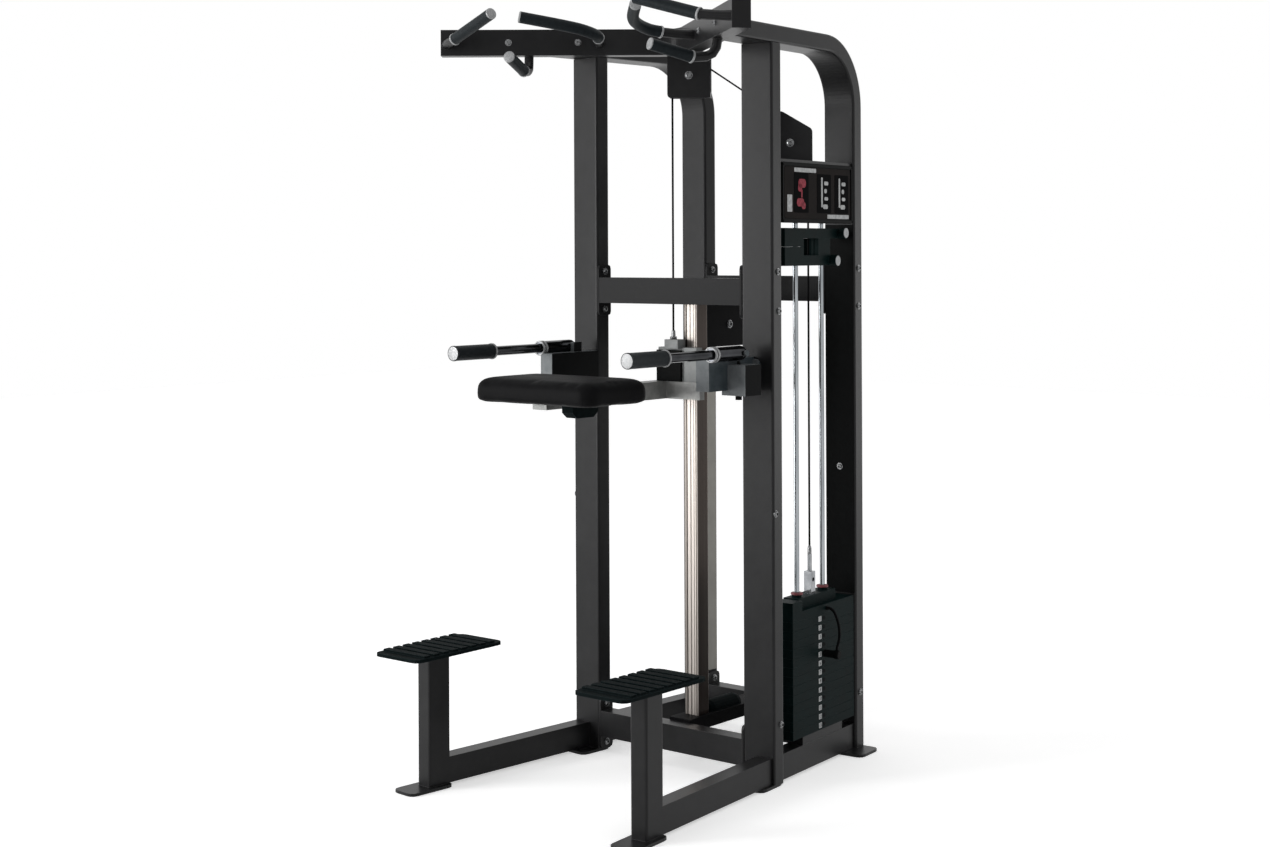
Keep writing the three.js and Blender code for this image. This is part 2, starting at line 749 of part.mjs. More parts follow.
// Pulleys, their housings and the cable in the turned pulley plane
function makePulley(name, along, height) {
  const half = pulleyWidth / 2;
  const groove = windRadius - cableRadius - grooveRoom;
  const grooveHalf = cableRadius + seat * 2;
  const bore = axleRadius + seat;
  const profile = [
    [bore, -half], [pulleyFlange, -half], [pulleyFlange, -pulleyGroove], [groove, -grooveHalf],
    [groove, grooveHalf], [pulleyFlange, pulleyGroove], [pulleyFlange, half], [bore, half], [bore, -half],
  ];
  const wheel = lathe(profile).rotateX(Math.PI / 2);
  piece(name, pulleyPlane(wheel, along, height), plastic);
}

function makeAxle(along, height) {
  const reach = cheekGap + cheekThickness;
  const shaft = rod(axleRadius, at(0, 0, -reach), at(0, 0, reach));
  const hub = rod(axleRadius * hubShare, at(0, 0, pulleyWidth / 2 + seat), at(0, 0, reach));
  const farHub = rod(axleRadius * hubShare, at(0, 0, -reach), at(0, 0, -pulleyWidth / 2 - seat));
  return pulleyPlane(join(shaft, hub, farHub), along, height);
}

function makeHousing(name, shape, along, height, bridges) {
  const outer = cheekGap + cheekThickness;
  const front = planeSlab(shape, [cheekGap, outer]);
  const back = planeSlab(shape, [-outer, -cheekGap]);
  const links = bridges.map(([t, z]) => planeSlab(roundedShape(rectanglePoints(t, z, 0)), [-outer, outer]));
  piece(name, join(front, back, makeAxle(along, height), ...links), blackPaint);
}

function makePulleys() {
  const top = beamBottom - seat;
  const half = topCheekHalf;
  const topCheekBottom = topPulleyHeight - topCheekReach;
  const topShape = roundedShape([
    [-half, topCheekBottom, topCheekCorner], [half, topCheekBottom, topCheekCorner],
    [half, top], [-half, top],
  ]);
  const bridge = [top - axleRadius * 2, top];
  const inset = pulleyFlange - topCheekCorner;
  makeHousing('top_pulley_housing', topShape, 0, topPulleyHeight, [
    [[-half, -inset - cableRadius * 2], bridge],
    [[inset + cableRadius, half], [topCheekBottom, topCheekBottom + axleRadius * 2]],
  ]);
  makePulley('top_pulley', 0, topPulleyHeight);

  const left = stackPulleyAlong - stackCheekStart;
  const right = stackPulleyAlong + stackCheekHalf;
  const bottom = towerTopTop + seat;
  const low = stackPulleyHeight + stackCheekRise;
  const stackShape = roundedShape([
    [left - topCheekCorner * 3, bottom], [right, bottom], [right, low, topCheekCorner],
    [left, stackPulleyHeight + stackCheekPeak, topCheekCorner], [left - topCheekCorner * 3, low],
  ]);
  makeHousing('stack_pulley_housing', stackShape, stackPulleyAlong, stackPulleyHeight, [
    [[left - topCheekCorner * 3, left - topCheekCorner * 2], [bottom, bottom + axleRadius * 4]],
  ]);
  makePulley('stack_pulley', stackPulleyAlong, stackPulleyHeight);
}

// Place in the pulley plane, from a distance along it and a height
function onPlane(along, height) {
  return at(along * Math.cos(pulleyTurn), pulleyPlaneY + along * Math.sin(pulleyTurn), height);
}

const carriageTop = carriageBottom + carriageHeight + carriageLid;
const anchorTop = carriageTop + anchorHeight;
const clevisTop = stackBottom + plateThickness * plateCount + topPlateThickness + clevisHeight;
const sleeveTop = clevisTop + sleeveLength;

class CableRun extends THREE.Curve {
  constructor() {
    super();
    this.drop = stackPulleyHeight - topPulleyHeight;
    this.tangent = Math.PI / 2 + Math.atan2(this.drop, stackPulleyAlong);
    this.straight = Math.hypot(this.drop, stackPulleyAlong);
    this.firstArc = windRadius * (Math.PI - this.tangent);
    this.secondArc = windRadius * this.tangent;
  }

  getPoint(share, target = new THREE.Vector3()) {
    const total = this.firstArc + this.straight + this.secondArc;
    const length = share * total;
    let angle = this.tangent;
    let along = 0;
    if (length < this.firstArc) angle = Math.PI - length / windRadius;
    else if (length > this.firstArc + this.straight) {
      angle = (total - length) / windRadius;
      along = 1;
    } else along = (length - this.firstArc) / this.straight;
    const t = along * stackPulleyAlong + windRadius * Math.cos(angle);
    const z = topPulleyHeight + along * this.drop + windRadius * Math.sin(angle);
    return target.copy(onPlane(t, z));
  }
}

function makeCables() {
  const start = onPlane(-windRadius, topPulleyHeight - seat);
  const anchor = onPlane(-windRadius, anchorTop + seat);
  piece('cable_to_carriage', rod(cableRadius, anchor, start, cableSides), plastic);
  const circle = new THREE.Shape().absarc(0, 0, cableRadius, 0, Math.PI * 2);
  const run = new CableRun();
  const steps = Math.round((run.firstArc + run.straight + run.secondArc) / (cableRadius * 6));
  const over = new THREE.ExtrudeGeometry(circle, { steps, curveSegments: cableSides / 2, extrudePath: run });
  piece('cable_over_pulleys', over, plastic);
  const end = onPlane(stackPulleyAlong + windRadius, stackPulleyHeight - seat);
  const low = end.clone().setZ(sleeveTop + seat);
  piece('cable_to_stack', rod(cableRadius, low, end, cableSides), plastic);
}

function rodBores(bottom, top) {
  return [rodFront, rodRear].map((along) => (
    rod(rodRadius + slide, at(-rodDepth, along, bottom), at(-rodDepth, along, top), roundSides)));
}

function stemBore(bottom, top, radius = stemRadius + slide) {
  return rod(radius, at(-rodDepth, stemAlong, bottom), at(-rodDepth, stemAlong, top), roundSides);
}

// Plates that touch face to face, as one body with a groove at each joint
function plateBlock(count, bottom, gap) {
  const core = block(
    [stackX[0] + plateGroove, stackX[1] - plateGroove],
    [stackY[0] + plateGroove, stackY[1] - plateGroove],
    [bottom, bottom + count * plateThickness - gap],
  );
  const plates = [];
  for (let row = 0; row < count; row += 1) {
    const low = bottom + row * plateThickness;
    const trim = row === count - 1 ? gap : plateGroove;
    plates.push(block(stackX, stackY, [low, low + plateThickness - trim]));
  }
  const top = bottom + count * plateThickness;
  return cut(join(core, ...plates), ...rodBores(0, top + overrun), stemBore(0, top + overrun));
}

function makeStack() {
  const restingCount = plateCount - liftedCount;
  const liftedBottom = stackBottom + restingCount * plateThickness;
  const liftedTop = stackBottom + plateCount * plateThickness;
  piece('resting_weight_plates', plateBlock(restingCount, stackBottom, seat), plateBlack, tower);
  const pinEnds = [at(stackX[0] - overrun, stemAlong, pinHeight), at(overrun, stemAlong, pinHeight)];
  const pinBore = rod(pinRadius + slide, ...pinEnds);
  const lifted = cut(plateBlock(liftedCount, liftedBottom, 0), pinBore);
  piece('lifted_weight_plates', lifted, plateBlack, tower);

  const topLow = liftedTop + seat;
  const topHigh = liftedTop + topPlateThickness;
  const headX = [-rodDepth - headWidth / 2, -rodDepth + headWidth / 2];
  const head = [
    block(headX, [rodFront - headReach, rodRear + headReach], [topHigh - seat, topHigh + headHeight]),
    block(stackX, [stackFront, stackFront + headFront], [topHigh - seat, topHigh + headHeight]),
  ];
  for (const along of [rodFront, rodRear]) {
    const bushTop = topHigh + headHeight + bushHeight;
    head.push(rod(bushRadius, at(-rodDepth, along, topHigh), at(-rodDepth, along, bushTop)));
  }
  const clevis = block(
    [-rodDepth - clevisWidth / 2, -rodDepth + clevisWidth / 2],
    [rodMiddle - clevisWidth / 2, rodMiddle + clevisWidth / 2],
    [topHigh, clevisTop],
  );
  const eyeHeight = clevisTop - clevisWidth;
  const eye = rod(clevisWidth / 4, at(-uprightWidth, rodMiddle, eyeHeight), at(0, rodMiddle, eyeHeight));
  const sleeve = rod(
    sleeveRadius,
    at(-rodDepth, rodMiddle, clevisTop - clevisWidth / 2),
    at(-rodDepth, rodMiddle, sleeveTop),
  );
  const stem = stemBore(stackBottom + seat, topHigh, stemRadius);
  const plate = block(stackX, stackY, [topLow, topHigh]);
  const body = join(plate, ...head, clevis, sleeve, stem);
  const topPlate = cut(body, ...rodBores(stackBottom, hoopTop), pinBore, eye);
  piece('stack_top_plate', topPlate, plateBlack, tower);

  const onPin = (out) => at(out, stemAlong, pinHeight);
  const shaft = rod(pinRadius, onPin(-pinDepth), onPin(pinHandleRadius));
  const handle = rod(pinHandleRadius, onPin(0), onPin(pinHandleLength), fineSides);
  piece('selector_pin', join(shaft, handle), plastic, tower);

  const cordFoot = pinHeight + pinHandleRadius + seat;
  const cordTop = topHigh - topPlateThickness / 2;
  const cordStart = stackX[1] + seat;
  const hang = (out, along, drop) => at(out, along, cordTop + (cordFoot - cordTop) * drop);
  piece('selector_lanyard', sweep(lanyardRadius, [
    hang(cordStart, 300, 0), hang(8, 300, -0.005), hang(22, 302, 0.09), hang(35, 303, 0.38),
    hang(41, 297, 0.68), hang(40, stemAlong, 0.93), hang(40, stemAlong, 1),
  ], lanyardSides / 2, lanyardSteps), plastic, tower);
}

function makeTower() {
  const base = block(
    [-rodDepth - railWidth / 2, -railInset],
    [rodMiddle - stackBase / 2, rodMiddle + stackBase / 2],
    [railTop + seat, stackBottom - seat],
  );
  piece('stack_base_bar', base, blackPaint, tower);

  const rodTop = towerTopBottom - seat;
  for (const [name, along] of [['front', rodFront], ['rear', rodRear]]) {
    const guide = rod(rodRadius, at(-rodDepth, along, stackBottom), at(-rodDepth, along, rodTop), roundSides);
    piece(`guide_rod_${name}`, guide, chrome, tower);
  }
  const bar = block(
    [-towerTopInner, -placardInset - placardThickness - seat],
    [uprightDepth + seat, frameDepth - seat],
    [towerTopBottom, towerTopTop],
  );
  const passage = rod(addOnPassage / 2, at(-rodDepth, rodMiddle, 0), at(-rodDepth, rodMiddle, hoopTop));
  piece('tower_top_bar', cut(bar, passage), blackPaint, tower);

  const placardBottom = towerTopBottom - placardDrop;
  const shape = roundedShape(rectanglePoints(
    [uprightDepth + placardMargin, frameDepth - placardMargin],
    [placardBottom, placardBottom + placardHeight],
    topCheekCorner,
  ));
  const placard = standing(shape, [-placardInset - placardThickness, -placardInset], cornerSteps);
  piece('instruction_placard', placard, plastic, tower);
}

function makeAddOns() {
  const x = [-addOnInset - addOnWidth, -addOnInset];
  const upperBottom = towerTopBottom - addOnDrop;
  const lowerBottom = upperBottom - addOnPitch;
  const blockSplit = upperBottom - addOnBlockDrop;
  const upperEnd = frameDepth - upperAddOnGap;
  const lowerEnd = frameDepth - lowerAddOnGap;
  const rearEnd = frameDepth - addOnRearGap;
  const passage = rod(addOnPassage, at(-rodDepth, rodMiddle, 0), at(-rodDepth, rodMiddle, hoopTop));
  const cuts = [passage, ...rodBores(lowerBottom - overrun, towerTopBottom)];
  const blockY = [addOnStart, addOnStart + addOnBlockLength];
  const knob = (along, height) => (
    rod(knobRadius, at(-addOnInset, along, height), at(-addOnInset + knobReach, along, height)));
  const upperTop = upperBottom + addOnHeight;
  const upper = join(
    block(x, [addOnStart, upperEnd], [upperBottom, upperTop]),
    block(x, blockY, [blockSplit + seat, upperTop]),
    knob(upperEnd - knobRadius, upperBottom + addOnHeight / 2),
  );
  piece('add_on_weight_upper', cut(upper, ...cuts), plateBlack, tower);
  const lower = join(
    block(x, [addOnStart, lowerEnd], [lowerBottom, lowerBottom + addOnHeight]),
    block(x, blockY, [lowerBottom, blockSplit]),
    block(x, [rearEnd - addOnRearLength, rearEnd], [lowerBottom, upperBottom - seat]),
    knob(lowerEnd - knobRadius, lowerBottom + addOnHeight / 2),
  );
  piece('add_on_weight_lower', cut(lower, ...cuts), plateBlack, tower);
}

// Carriage that rides on the column, with its rollers
const armTop = carriageBottom - seat;
const armBottom = armTop - armSize;
const supportBottom = padBottom - seat - padSupportThickness;

function makeCarriage() {
  const shellZ = [carriageBottom, carriageBottom + carriageHeight];
  const shell = block([-carriageLeft, carriageRight], [carriageFront, carriageRear], shellZ);
  const room = block(
    [carriageWall - carriageLeft, carriageRight - carriageWall],
    [carriageFront + carriageWall, carriageRear - carriageWall],
    [0, hoopTop],
  );
  const lid = block(
    [-carriageLeft, carriageRight],
    [carriageFront, columnFront - slide * 2],
    [shellZ[1] - carriageWall, shellZ[1] + carriageLid],
  );
  const anchorZ = [carriageTop - carriageLid / 2, anchorTop];
  const anchor = block([-anchorLeft, -anchorRight], [anchorFront, anchorFront + anchorDepth], anchorZ);
  const trimmedShell = cut(shell, room);
  piece('carriage_shell', join(trimmedShell, lid, anchor), greyPaint);

  const cover = block(
    [-carriageLeft, -coverRight],
    [carriageFront - seat - coverThickness, carriageFront - seat],
    shellZ,
  );
  piece('carriage_cover', cover, plastic);

  const middle = carriageBottom + carriageHeight / 2;
  const frontLine = columnFront - slide - rollerRadius;
  const rearLine = columnFront + columnSize + slide + rollerRadius;
  for (const [name, line] of [['front', frontLine], ['rear', rearLine]]) {
    const barrel = rod(rollerRadius, at(-rollerHalf, line, middle), at(rollerHalf, line, middle), roundSides);
    const axle = rod(
      rollerAxle,
      at(carriageWall - carriageLeft + seat, line, middle),
      at(carriageRight - carriageWall - seat, line, middle),
      roundSides / 2,
    );
    piece(`guide_roller_${name}`, join(barrel, axle), rubber);
  }

  const armX = [-armLeft, armSize - armLeft];
  const armRear = carriageFront + crossBarDepth;
  const crossBar = block([-armLeft, crossBarRight], [carriageFront, armRear], [armBottom, armTop]);
  const arm = block(armX, [-armFront, armRear], [armBottom, armTop]);
  const tongue = block(armX, [-padSupportFront, -armFront + seat], [armBottom, supportBottom - seat]);
  piece('carriage_arm', join(crossBar, arm, tongue), chrome);
}

// Rounded rectangle as a ring of points, drawn in by an inset
function padRing(inset, height) {
  const ring = [];
  const middleY = -(padFront + padRear) / 2;
  const halfDepth = (padFront - padRear) / 2;
  const radius = Math.max(padCorner - inset, padCorner / 4);
  const centreX = padHalfWidth - inset - radius;
  const centreY = halfDepth - inset - radius;
  const quarter = 6;
  [[1, 1], [-1, 1], [-1, -1], [1, -1]].forEach(([signX, signY], corner) => {
    for (let step = 0; step <= quarter; step += 1) {
      const angle = (corner + step / quarter) * Math.PI / 2;
      ring.push(at(
        signX * centreX + radius * Math.cos(angle),
        middleY + signY * centreY + radius * Math.sin(angle),
        height,
      ));
    }
  });
  return ring;
}

// Closed skin over rings of equal count, with a middle point under and over them
function loft(rings) {
  const count = rings[0].length;
  const points = rings.flat();
  const index = [];
  rings.slice(1).forEach((ring, level) => {
    for (let step = 0; step < count; step += 1) {
      const next = (step + 1) % count;
      const low = level * count;
      const high = low + count;
      index.push(low + step, low + next, high + next, low + step, high + next, high + step);
    }
  });
  const middleOf = (ring, rise) => ring.reduce((sum, point) => sum.add(point), at(0, 0, 0))
    .multiplyScalar(1 / count).add(at(0, 0, rise));
  const bottom = points.push(middleOf(rings[0], 0)) - 1;
  const top = points.push(middleOf(rings.at(-1), padCrown * padMiddleShare)) - 1;
  const last = (rings.length - 1) * count;
  for (let step = 0; step < count; step += 1) {
    const next = (step + 1) % count;
    index.push(bottom, next, step, top, last + step, last + next);
  }
  const geometry = new THREE.BufferGeometry().setFromPoints(points);
  geometry.setIndex(index);
  geometry.computeVertexNormals();
  return geometry;
}

// Side and crown of the cushion: inset as a share of the corner radius, rise as one of the height
const padSideShares = [[0.12, 0], [0.02, 0.1], [0, 0.35], [0.02, 0.62], [0.1, 0.82], [0.25, 0.94], [0.42, 1]];
const padCrownShares = [[0.9, 0.35], [1.5, 0.65], [2.1, 0.87], [2.6, 0.97]];

function makePad() {
  const rings = padSideShares.map(([inset, rise]) => (
    padRing(padCorner * inset, padBottom + padHeight * rise)));
  for (const [inset, rise] of padCrownShares) {
    rings.push(padRing(padCorner * inset, padBottom + padHeight + padCrown * rise));
  }
  piece('knee_pad', loft(rings), vinyl);

  const support = block(
    [-armLeft, padSupportRight],
    [-padSupportFront, -padRear],
    [supportBottom, padBottom - seat],
  );
  piece('knee_pad_support', support, greyPaint);

  const half = padBumperWidth / 2;
  const side = padBumperDrop * padBumperSideShare;
  const corner = padBumperDrop * padBumperCornerShare;
  const profile = roundedShape([
    [-padBumperFront, supportBottom - seat], [-padBumperRear, supportBottom - seat],
    [-padBumperRear, supportBottom - side],
    [-padBumperRear - half, supportBottom - padBumperDrop, corner],
    [half - padBumperFront, supportBottom - padBumperDrop, corner],
    [-padBumperFront, supportBottom - side],
  ]);
  piece('knee_pad_bumper', standing(profile, [-half, half], cornerSteps), rubber);
}

// Folding dip arms on their brackets
const dipAxis = frameWidth / 2 - dipInset;

function makeDips() {
  const hubBack = dipPivot + dipHubRadius;
  const rodTip = dipTip + padSupportThickness;
  const collarBack = dipCollarFront + dipCollarLength;
  const profile = [
    [0, rodTip], [dipRodRadius, rodTip], [dipRodRadius, dipCollarFront],
    [dipCollarRadius, dipCollarFront], [dipCollarRadius, collarBack], [dipHubRadius, collarBack],
  ];
  const quarter = 6;
  for (let step = 0; step < quarter; step += 1) {
    const angle = step / quarter * Math.PI / 2;
    profile.push([dipHubRadius * Math.cos(angle), dipPivot + dipHubRadius * Math.sin(angle)]);
  }
  profile.push([0, hubBack]);
  const arm = lathe(profile).translate(dipAxis, 0, dipHeight);
  const bore = rod(
    dipPinRadius + seat,
    at(dipAxis - dipHubRadius * 2, dipPivot, dipHeight),
    at(dipAxis + dipHubRadius * 2, dipPivot, dipHeight),
  );
  pair('dip_arm', cut(arm, bore), chrome, false);

  const gripBack = dipTip + dipGripLength;
  const grip = lathe([
    [0, dipTip], [dipGripRadius, dipTip], [dipGripRadius, gripBack], [dipRodRadius + seat, gripBack],
    [dipRodRadius + seat, rodTip - seat], [0, rodTip - seat],
  ]).translate(dipAxis, 0, dipHeight);
  pair('dip_grip', grip, rubber, false);

  const plateFront = -seat - bracketPlateThickness;
  const plateBottom = dipHeight - bracketPlateDrop;
  const plateShape = roundedShape(rectanglePoints(
    [-uprightWidth, bracketPlateWidth - uprightWidth],
    [plateBottom, plateBottom + bracketPlateHeight],
    bracketPlateCorner,
  ));
  const flatPlate = extrude(plateShape, bracketPlateThickness).rotateX(Math.PI / 2);
  const plate = toMachine(flatPlate.translate(0, -seat, 0));
  const middle = dipAxis - bracketStep;
  const bracketTop = dipHeight - bracketTopDrop;
  const blockBottom = dipHeight - bracketBlockDrop;
  const inner = block(
    [dipAxis - bracketInnerReach, middle],
    [bracketFront, plateFront],
    [dipHeight - bracketDrop, bracketTop],
  );
  const outer = block(
    [middle - overrun, dipAxis + bracketOuterReach],
    [bracketBlockFront, bracketBlockRear],
    [blockBottom, dipHeight - bracketBlockTopDrop],
  );
  const earOuter = dipAxis - dipHubRadius - dipClearance;
  const earInner = earOuter - earThickness;
  const ear = block(
    [earInner, earOuter],
    [dipPivot - earHalf, dipPivot + earHalf],
    [bracketTop - overrun, dipHeight + earRise],
  );
  const reach = dipHubRadius + dipClearance;
  const trough = rod(reach, at(dipAxis, bracketFront - overrun, dipHeight), at(dipAxis, dipPivot, dipHeight));
  const acrossPivot = [at(dipAxis - reach, dipPivot, dipHeight), at(dipAxis + reach, dipPivot, dipHeight)];
  const sweepRoom = rod(reach, ...acrossPivot);
  const behind = toMachine(block([-uprightWidth * 2, uprightWidth], [-seat, uprightDepth], [0, hoopTop]));
  const pinEnd = dipAxis + dipHubRadius + earThickness / 2;
  const pin = rod(dipPinRadius, at(earInner + seat, dipPivot, dipHeight), at(pinEnd, dipPivot, dipHeight));
  const pinHead = rod(
    dipPinRadius * dipPinHeadShare,
    at(dipAxis + dipHubRadius + seat * 2, dipPivot, dipHeight),
    at(pinEnd, dipPivot, dipHeight),
  );
  const lockX = dipAxis + lockPinShift;
  const onLock = (height) => at(lockX, -lockPinAlong, height);
  const lockBore = rod(lockPinRadius + seat, onLock(0), onLock(dipHeight));
  const carved = cut(join(inner, plate, outer), trough, sweepRoom, behind, lockBore);
  pair('dip_bracket', join(carved, cut(ear, behind), pin, pinHead), greyPaint, false);

  const knobTop = blockBottom - seat;
  const lockTop = dipHeight - dipHubRadius - seat * 2;
  const lock = join(
    rod(lockPinRadius, onLock(knobTop - lockKnobHeight / 2), onLock(lockTop)),
    rod(lockKnobRadius, onLock(knobTop - lockKnobHeight), onLock(knobTop)),
  );
  pair('dip_lock_pin', lock, plastic, false);
}

makeUprights();
makeHoops();
makeFloorRails();
makeCrossbars();
makeBeam();
makeColumn();
makePulleys();
makeCables();
makeTower();
makeStack();
makeAddOns();
makeCarriage();
makePad();
makeDips();

// The origin lies on the floor under the middle of the whole machine
machine.updateMatrixWorld(true);
const extent = new THREE.Box3().setFromObject(machine, true);
machine.position.set(-(extent.min.x + extent.max.x) / 2, -(extent.min.y + extent.max.y) / 2, -extent.min.z);

export default machine;
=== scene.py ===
"""Assisted chin-up dip machine: finishes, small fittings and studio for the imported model.

Metres, +Z up, +Y to the rear, the weight stack on the +X side, the floor at Z = 0.
"""
import json
import math

import bmesh
import bpy
import numpy as np
from mathutils import Matrix, Quaternion, Vector


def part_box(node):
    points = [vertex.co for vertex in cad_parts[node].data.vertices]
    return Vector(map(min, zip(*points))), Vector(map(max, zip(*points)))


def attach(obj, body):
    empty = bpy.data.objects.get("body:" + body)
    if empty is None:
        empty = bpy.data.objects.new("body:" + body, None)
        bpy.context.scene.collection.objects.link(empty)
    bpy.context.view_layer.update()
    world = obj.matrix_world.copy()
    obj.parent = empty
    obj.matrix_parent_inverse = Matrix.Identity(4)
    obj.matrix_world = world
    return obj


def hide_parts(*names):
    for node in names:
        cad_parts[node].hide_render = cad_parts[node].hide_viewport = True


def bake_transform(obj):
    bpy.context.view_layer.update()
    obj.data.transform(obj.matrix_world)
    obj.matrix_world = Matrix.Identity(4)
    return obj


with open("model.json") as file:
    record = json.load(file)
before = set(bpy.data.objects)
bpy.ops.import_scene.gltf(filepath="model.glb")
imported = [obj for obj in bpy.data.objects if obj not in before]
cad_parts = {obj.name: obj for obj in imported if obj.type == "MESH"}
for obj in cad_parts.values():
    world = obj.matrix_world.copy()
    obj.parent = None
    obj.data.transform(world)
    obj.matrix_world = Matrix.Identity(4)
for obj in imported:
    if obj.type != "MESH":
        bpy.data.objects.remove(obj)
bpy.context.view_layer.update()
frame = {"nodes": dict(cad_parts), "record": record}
nodes = frame["nodes"]

# Side frames, as in the solids
SPLAY = math.radians(5)
FRAME_WIDTH = 0.7304
UPRIGHT_WIDTH = 0.1
UPRIGHT_DEPTH = 0.05
FRAME_DEPTH = 0.473
ORIGIN_Y = 0.10858  # front of the frame to the middle of the machine
SEAT = 0.0003
# Crossbars: heights of the middle and the bottom pair, and their end plates
CROSSBAR_HEIGHTS = (1.3645, 0.0835)
PLATE_THICKNESS = 0.007
# Pulley plane, and the heights of the pulleys' axles
PULLEY_PLANE_Y = 0.099 + ORIGIN_Y
PULLEY_RADIUS = 0.05
TOP_PULLEY_HEIGHT = 1.9895
STACK_PULLEY_HEIGHT = 1.79
# Guide rods in the right side frame
ROD_OUT = -0.05
ROD_ALONG = {"front": 0.212, "rear": 0.361}
ROD_MIDDLE = 0.2865
# Beam
BEAM_ANGLE = math.radians(40)
BEAM_OVERHANG = 0.15954  # past the side frame, across the machine
BEAM_APEX_Y = 0.045 + ORIGIN_Y
BEAM_MIDDLE_Z = 2.0835


# Placing


def side_point(side, out, along, height):
    """A point of a side frame: outwards from its outer face, rearwards, up."""
    x = FRAME_WIDTH / 2 - along * math.sin(SPLAY) + out * math.cos(SPLAY)
    y = along * math.cos(SPLAY) + out * math.sin(SPLAY) + ORIGIN_Y
    return Vector((side * x, y, height))


DROP = side_point(1, ROD_OUT, ROD_MIDDLE, 0)
PULLEY_TURN = math.atan2(DROP.y - PULLEY_PLANE_Y, DROP.x)
STACK_PULLEY_ALONG = math.hypot(DROP.x, DROP.y - PULLEY_PLANE_Y) - PULLEY_RADIUS


def side_axis(side, out, along):
    """A level direction of a side frame."""
    direction = side_point(side, out, along, 0) - side_point(side, 0, 0, 0)
    return direction.normalized()


def plane_point(along, across, height):
    """A point of the pulley plane: along it from the middle, towards the front of it, up."""
    direction = Vector((math.cos(PULLEY_TURN), math.sin(PULLEY_TURN), 0))
    normal = Vector((math.sin(PULLEY_TURN), -math.cos(PULLEY_TURN), 0))
    return Vector((0, PULLEY_PLANE_Y, height)) + direction * along + normal * across


def beam_point(side, along, off, height):
    """A point of a beam arm: out from the corner of the front faces, behind the front face, up."""
    x = along * math.cos(BEAM_ANGLE) + off * math.sin(BEAM_ANGLE)
    y = BEAM_APEX_Y - along * math.sin(BEAM_ANGLE) + off * math.cos(BEAM_ANGLE)
    return Vector((side * x, y, height))


def facing(origin, axis, up=(0, 0, 1)):
    """A frame at a point: local Z along the axis, local Y as near as can be to up."""
    z = Vector(axis).normalized()
    x = Vector(up).cross(z)
    if x.length < 1e-4:
        x = Vector((1, 0, 0)).cross(z)
    x.normalize()
    y = z.cross(x)
    turn = Matrix((x, y, z)).transposed().to_4x4()
    return Matrix.Translation(Vector(origin)) @ turn


# Materials


def node(tree, kind, **values):
    """A shader node, with values for its sockets and its own settings."""
    made = tree.nodes.new(kind)
    for name, value in values.items():
        if name in made.inputs:
            made.inputs[name].default_value = value
        else:
            setattr(made, name, value)
    return made


def srgb(red, green, blue):
    """A colour written as 0 to 255, as linear light."""
    def linear(value):
        share = value / 255
        return share / 12.92 if share <= 0.04045 else ((share + 0.055) / 1.055) ** 2.4
    return (linear(red), linear(green), linear(blue), 1)


def first_of(items, kind):
    """The first node or socket of a kind."""
    return next(item for item in items if item.type == kind)


MOTTLE_DETAIL = 5.0
MOTTLE_ROUGHNESS = 0.6
MOTTLE_STOPS = (0.32, 0.7)
BUMP_DETAIL = 3.0
BEVEL_SAMPLES = 4


def surface(name, dark, light, grain, rough, metallic, bump, stretch=(1, 1, 1), edge=0.0, **shader):
    """A procedural finish: a mottled colour, a mottled gloss, a fine bump and eased edges.

    grain is the scale of the mottle, rough the range of roughness, bump a scale, strength and depth.
    """
    material = bpy.data.materials.new(name)
    material.use_nodes = True
    tree = material.node_tree
    principled = tree.nodes["Principled BSDF"]
    principled.inputs["Metallic"].default_value = metallic
    for key, value in shader.items():
        principled.inputs[key.replace("_", " ")].default_value = value
    place = node(tree, "ShaderNodeTexCoord")
    mapping = node(tree, "ShaderNodeMapping", Scale=stretch)
    tree.links.new(place.outputs["Object"], mapping.inputs["Vector"])
    mottle = node(tree, "ShaderNodeTexNoise", Scale=grain, Detail=MOTTLE_DETAIL, Roughness=MOTTLE_ROUGHNESS)
    tree.links.new(mapping.outputs["Vector"], mottle.inputs["Vector"])
    ramp = node(tree, "ShaderNodeValToRGB")
    for stop, position, colour in zip(ramp.color_ramp.elements, MOTTLE_STOPS, (dark, light)):
        stop.position = position
        stop.color = colour
    tree.links.new(mottle.outputs["Fac"], ramp.inputs["Fac"])
    tree.links.new(ramp.outputs["Color"], principled.inputs["Base Color"])
    gloss = node(tree, "ShaderNodeMapRange")
    gloss.inputs["To Min"].default_value = rough[0]
    gloss.inputs["To Max"].default_value = rough[1]
    tree.links.new(mottle.outputs["Fac"], gloss.inputs["Value"])
    tree.links.new(gloss.outputs["Result"], principled.inputs["Roughness"])
    scale, strength, distance = bump
    fine = node(tree, "ShaderNodeTexNoise", Scale=scale, Detail=BUMP_DETAIL)
    tree.links.new(mapping.outputs["Vector"], fine.inputs["Vector"])
    relief = node(tree, "ShaderNodeBump", Strength=strength, Distance=distance)
    tree.links.new(fine.outputs["Fac"], relief.inputs["Height"])
    tree.links.new(relief.outputs["Normal"], principled.inputs["Normal"])
    if edge:
        eased = node(tree, "ShaderNodeBevel", samples=BEVEL_SAMPLES, Radius=edge)
        tree.links.new(eased.outputs["Normal"], relief.inputs["Normal"])
    return material


def mixed_colour(tree, **values):
    """A colour mix: its node, its two colours and its result."""
    mix = node(tree, "ShaderNodeMix", data_type="RGBA", **values)
    colours = [item for item in mix.inputs if item.type == "RGBA"]
    return mix, colours, first_of(mix.outputs, "RGBA")


# How well the rounded normal agrees with the face's own one where the painted edge highlight starts and where
# it is full
HIGHLIGHT_START = 0.99
HIGHLIGHT_FULL = 0.86


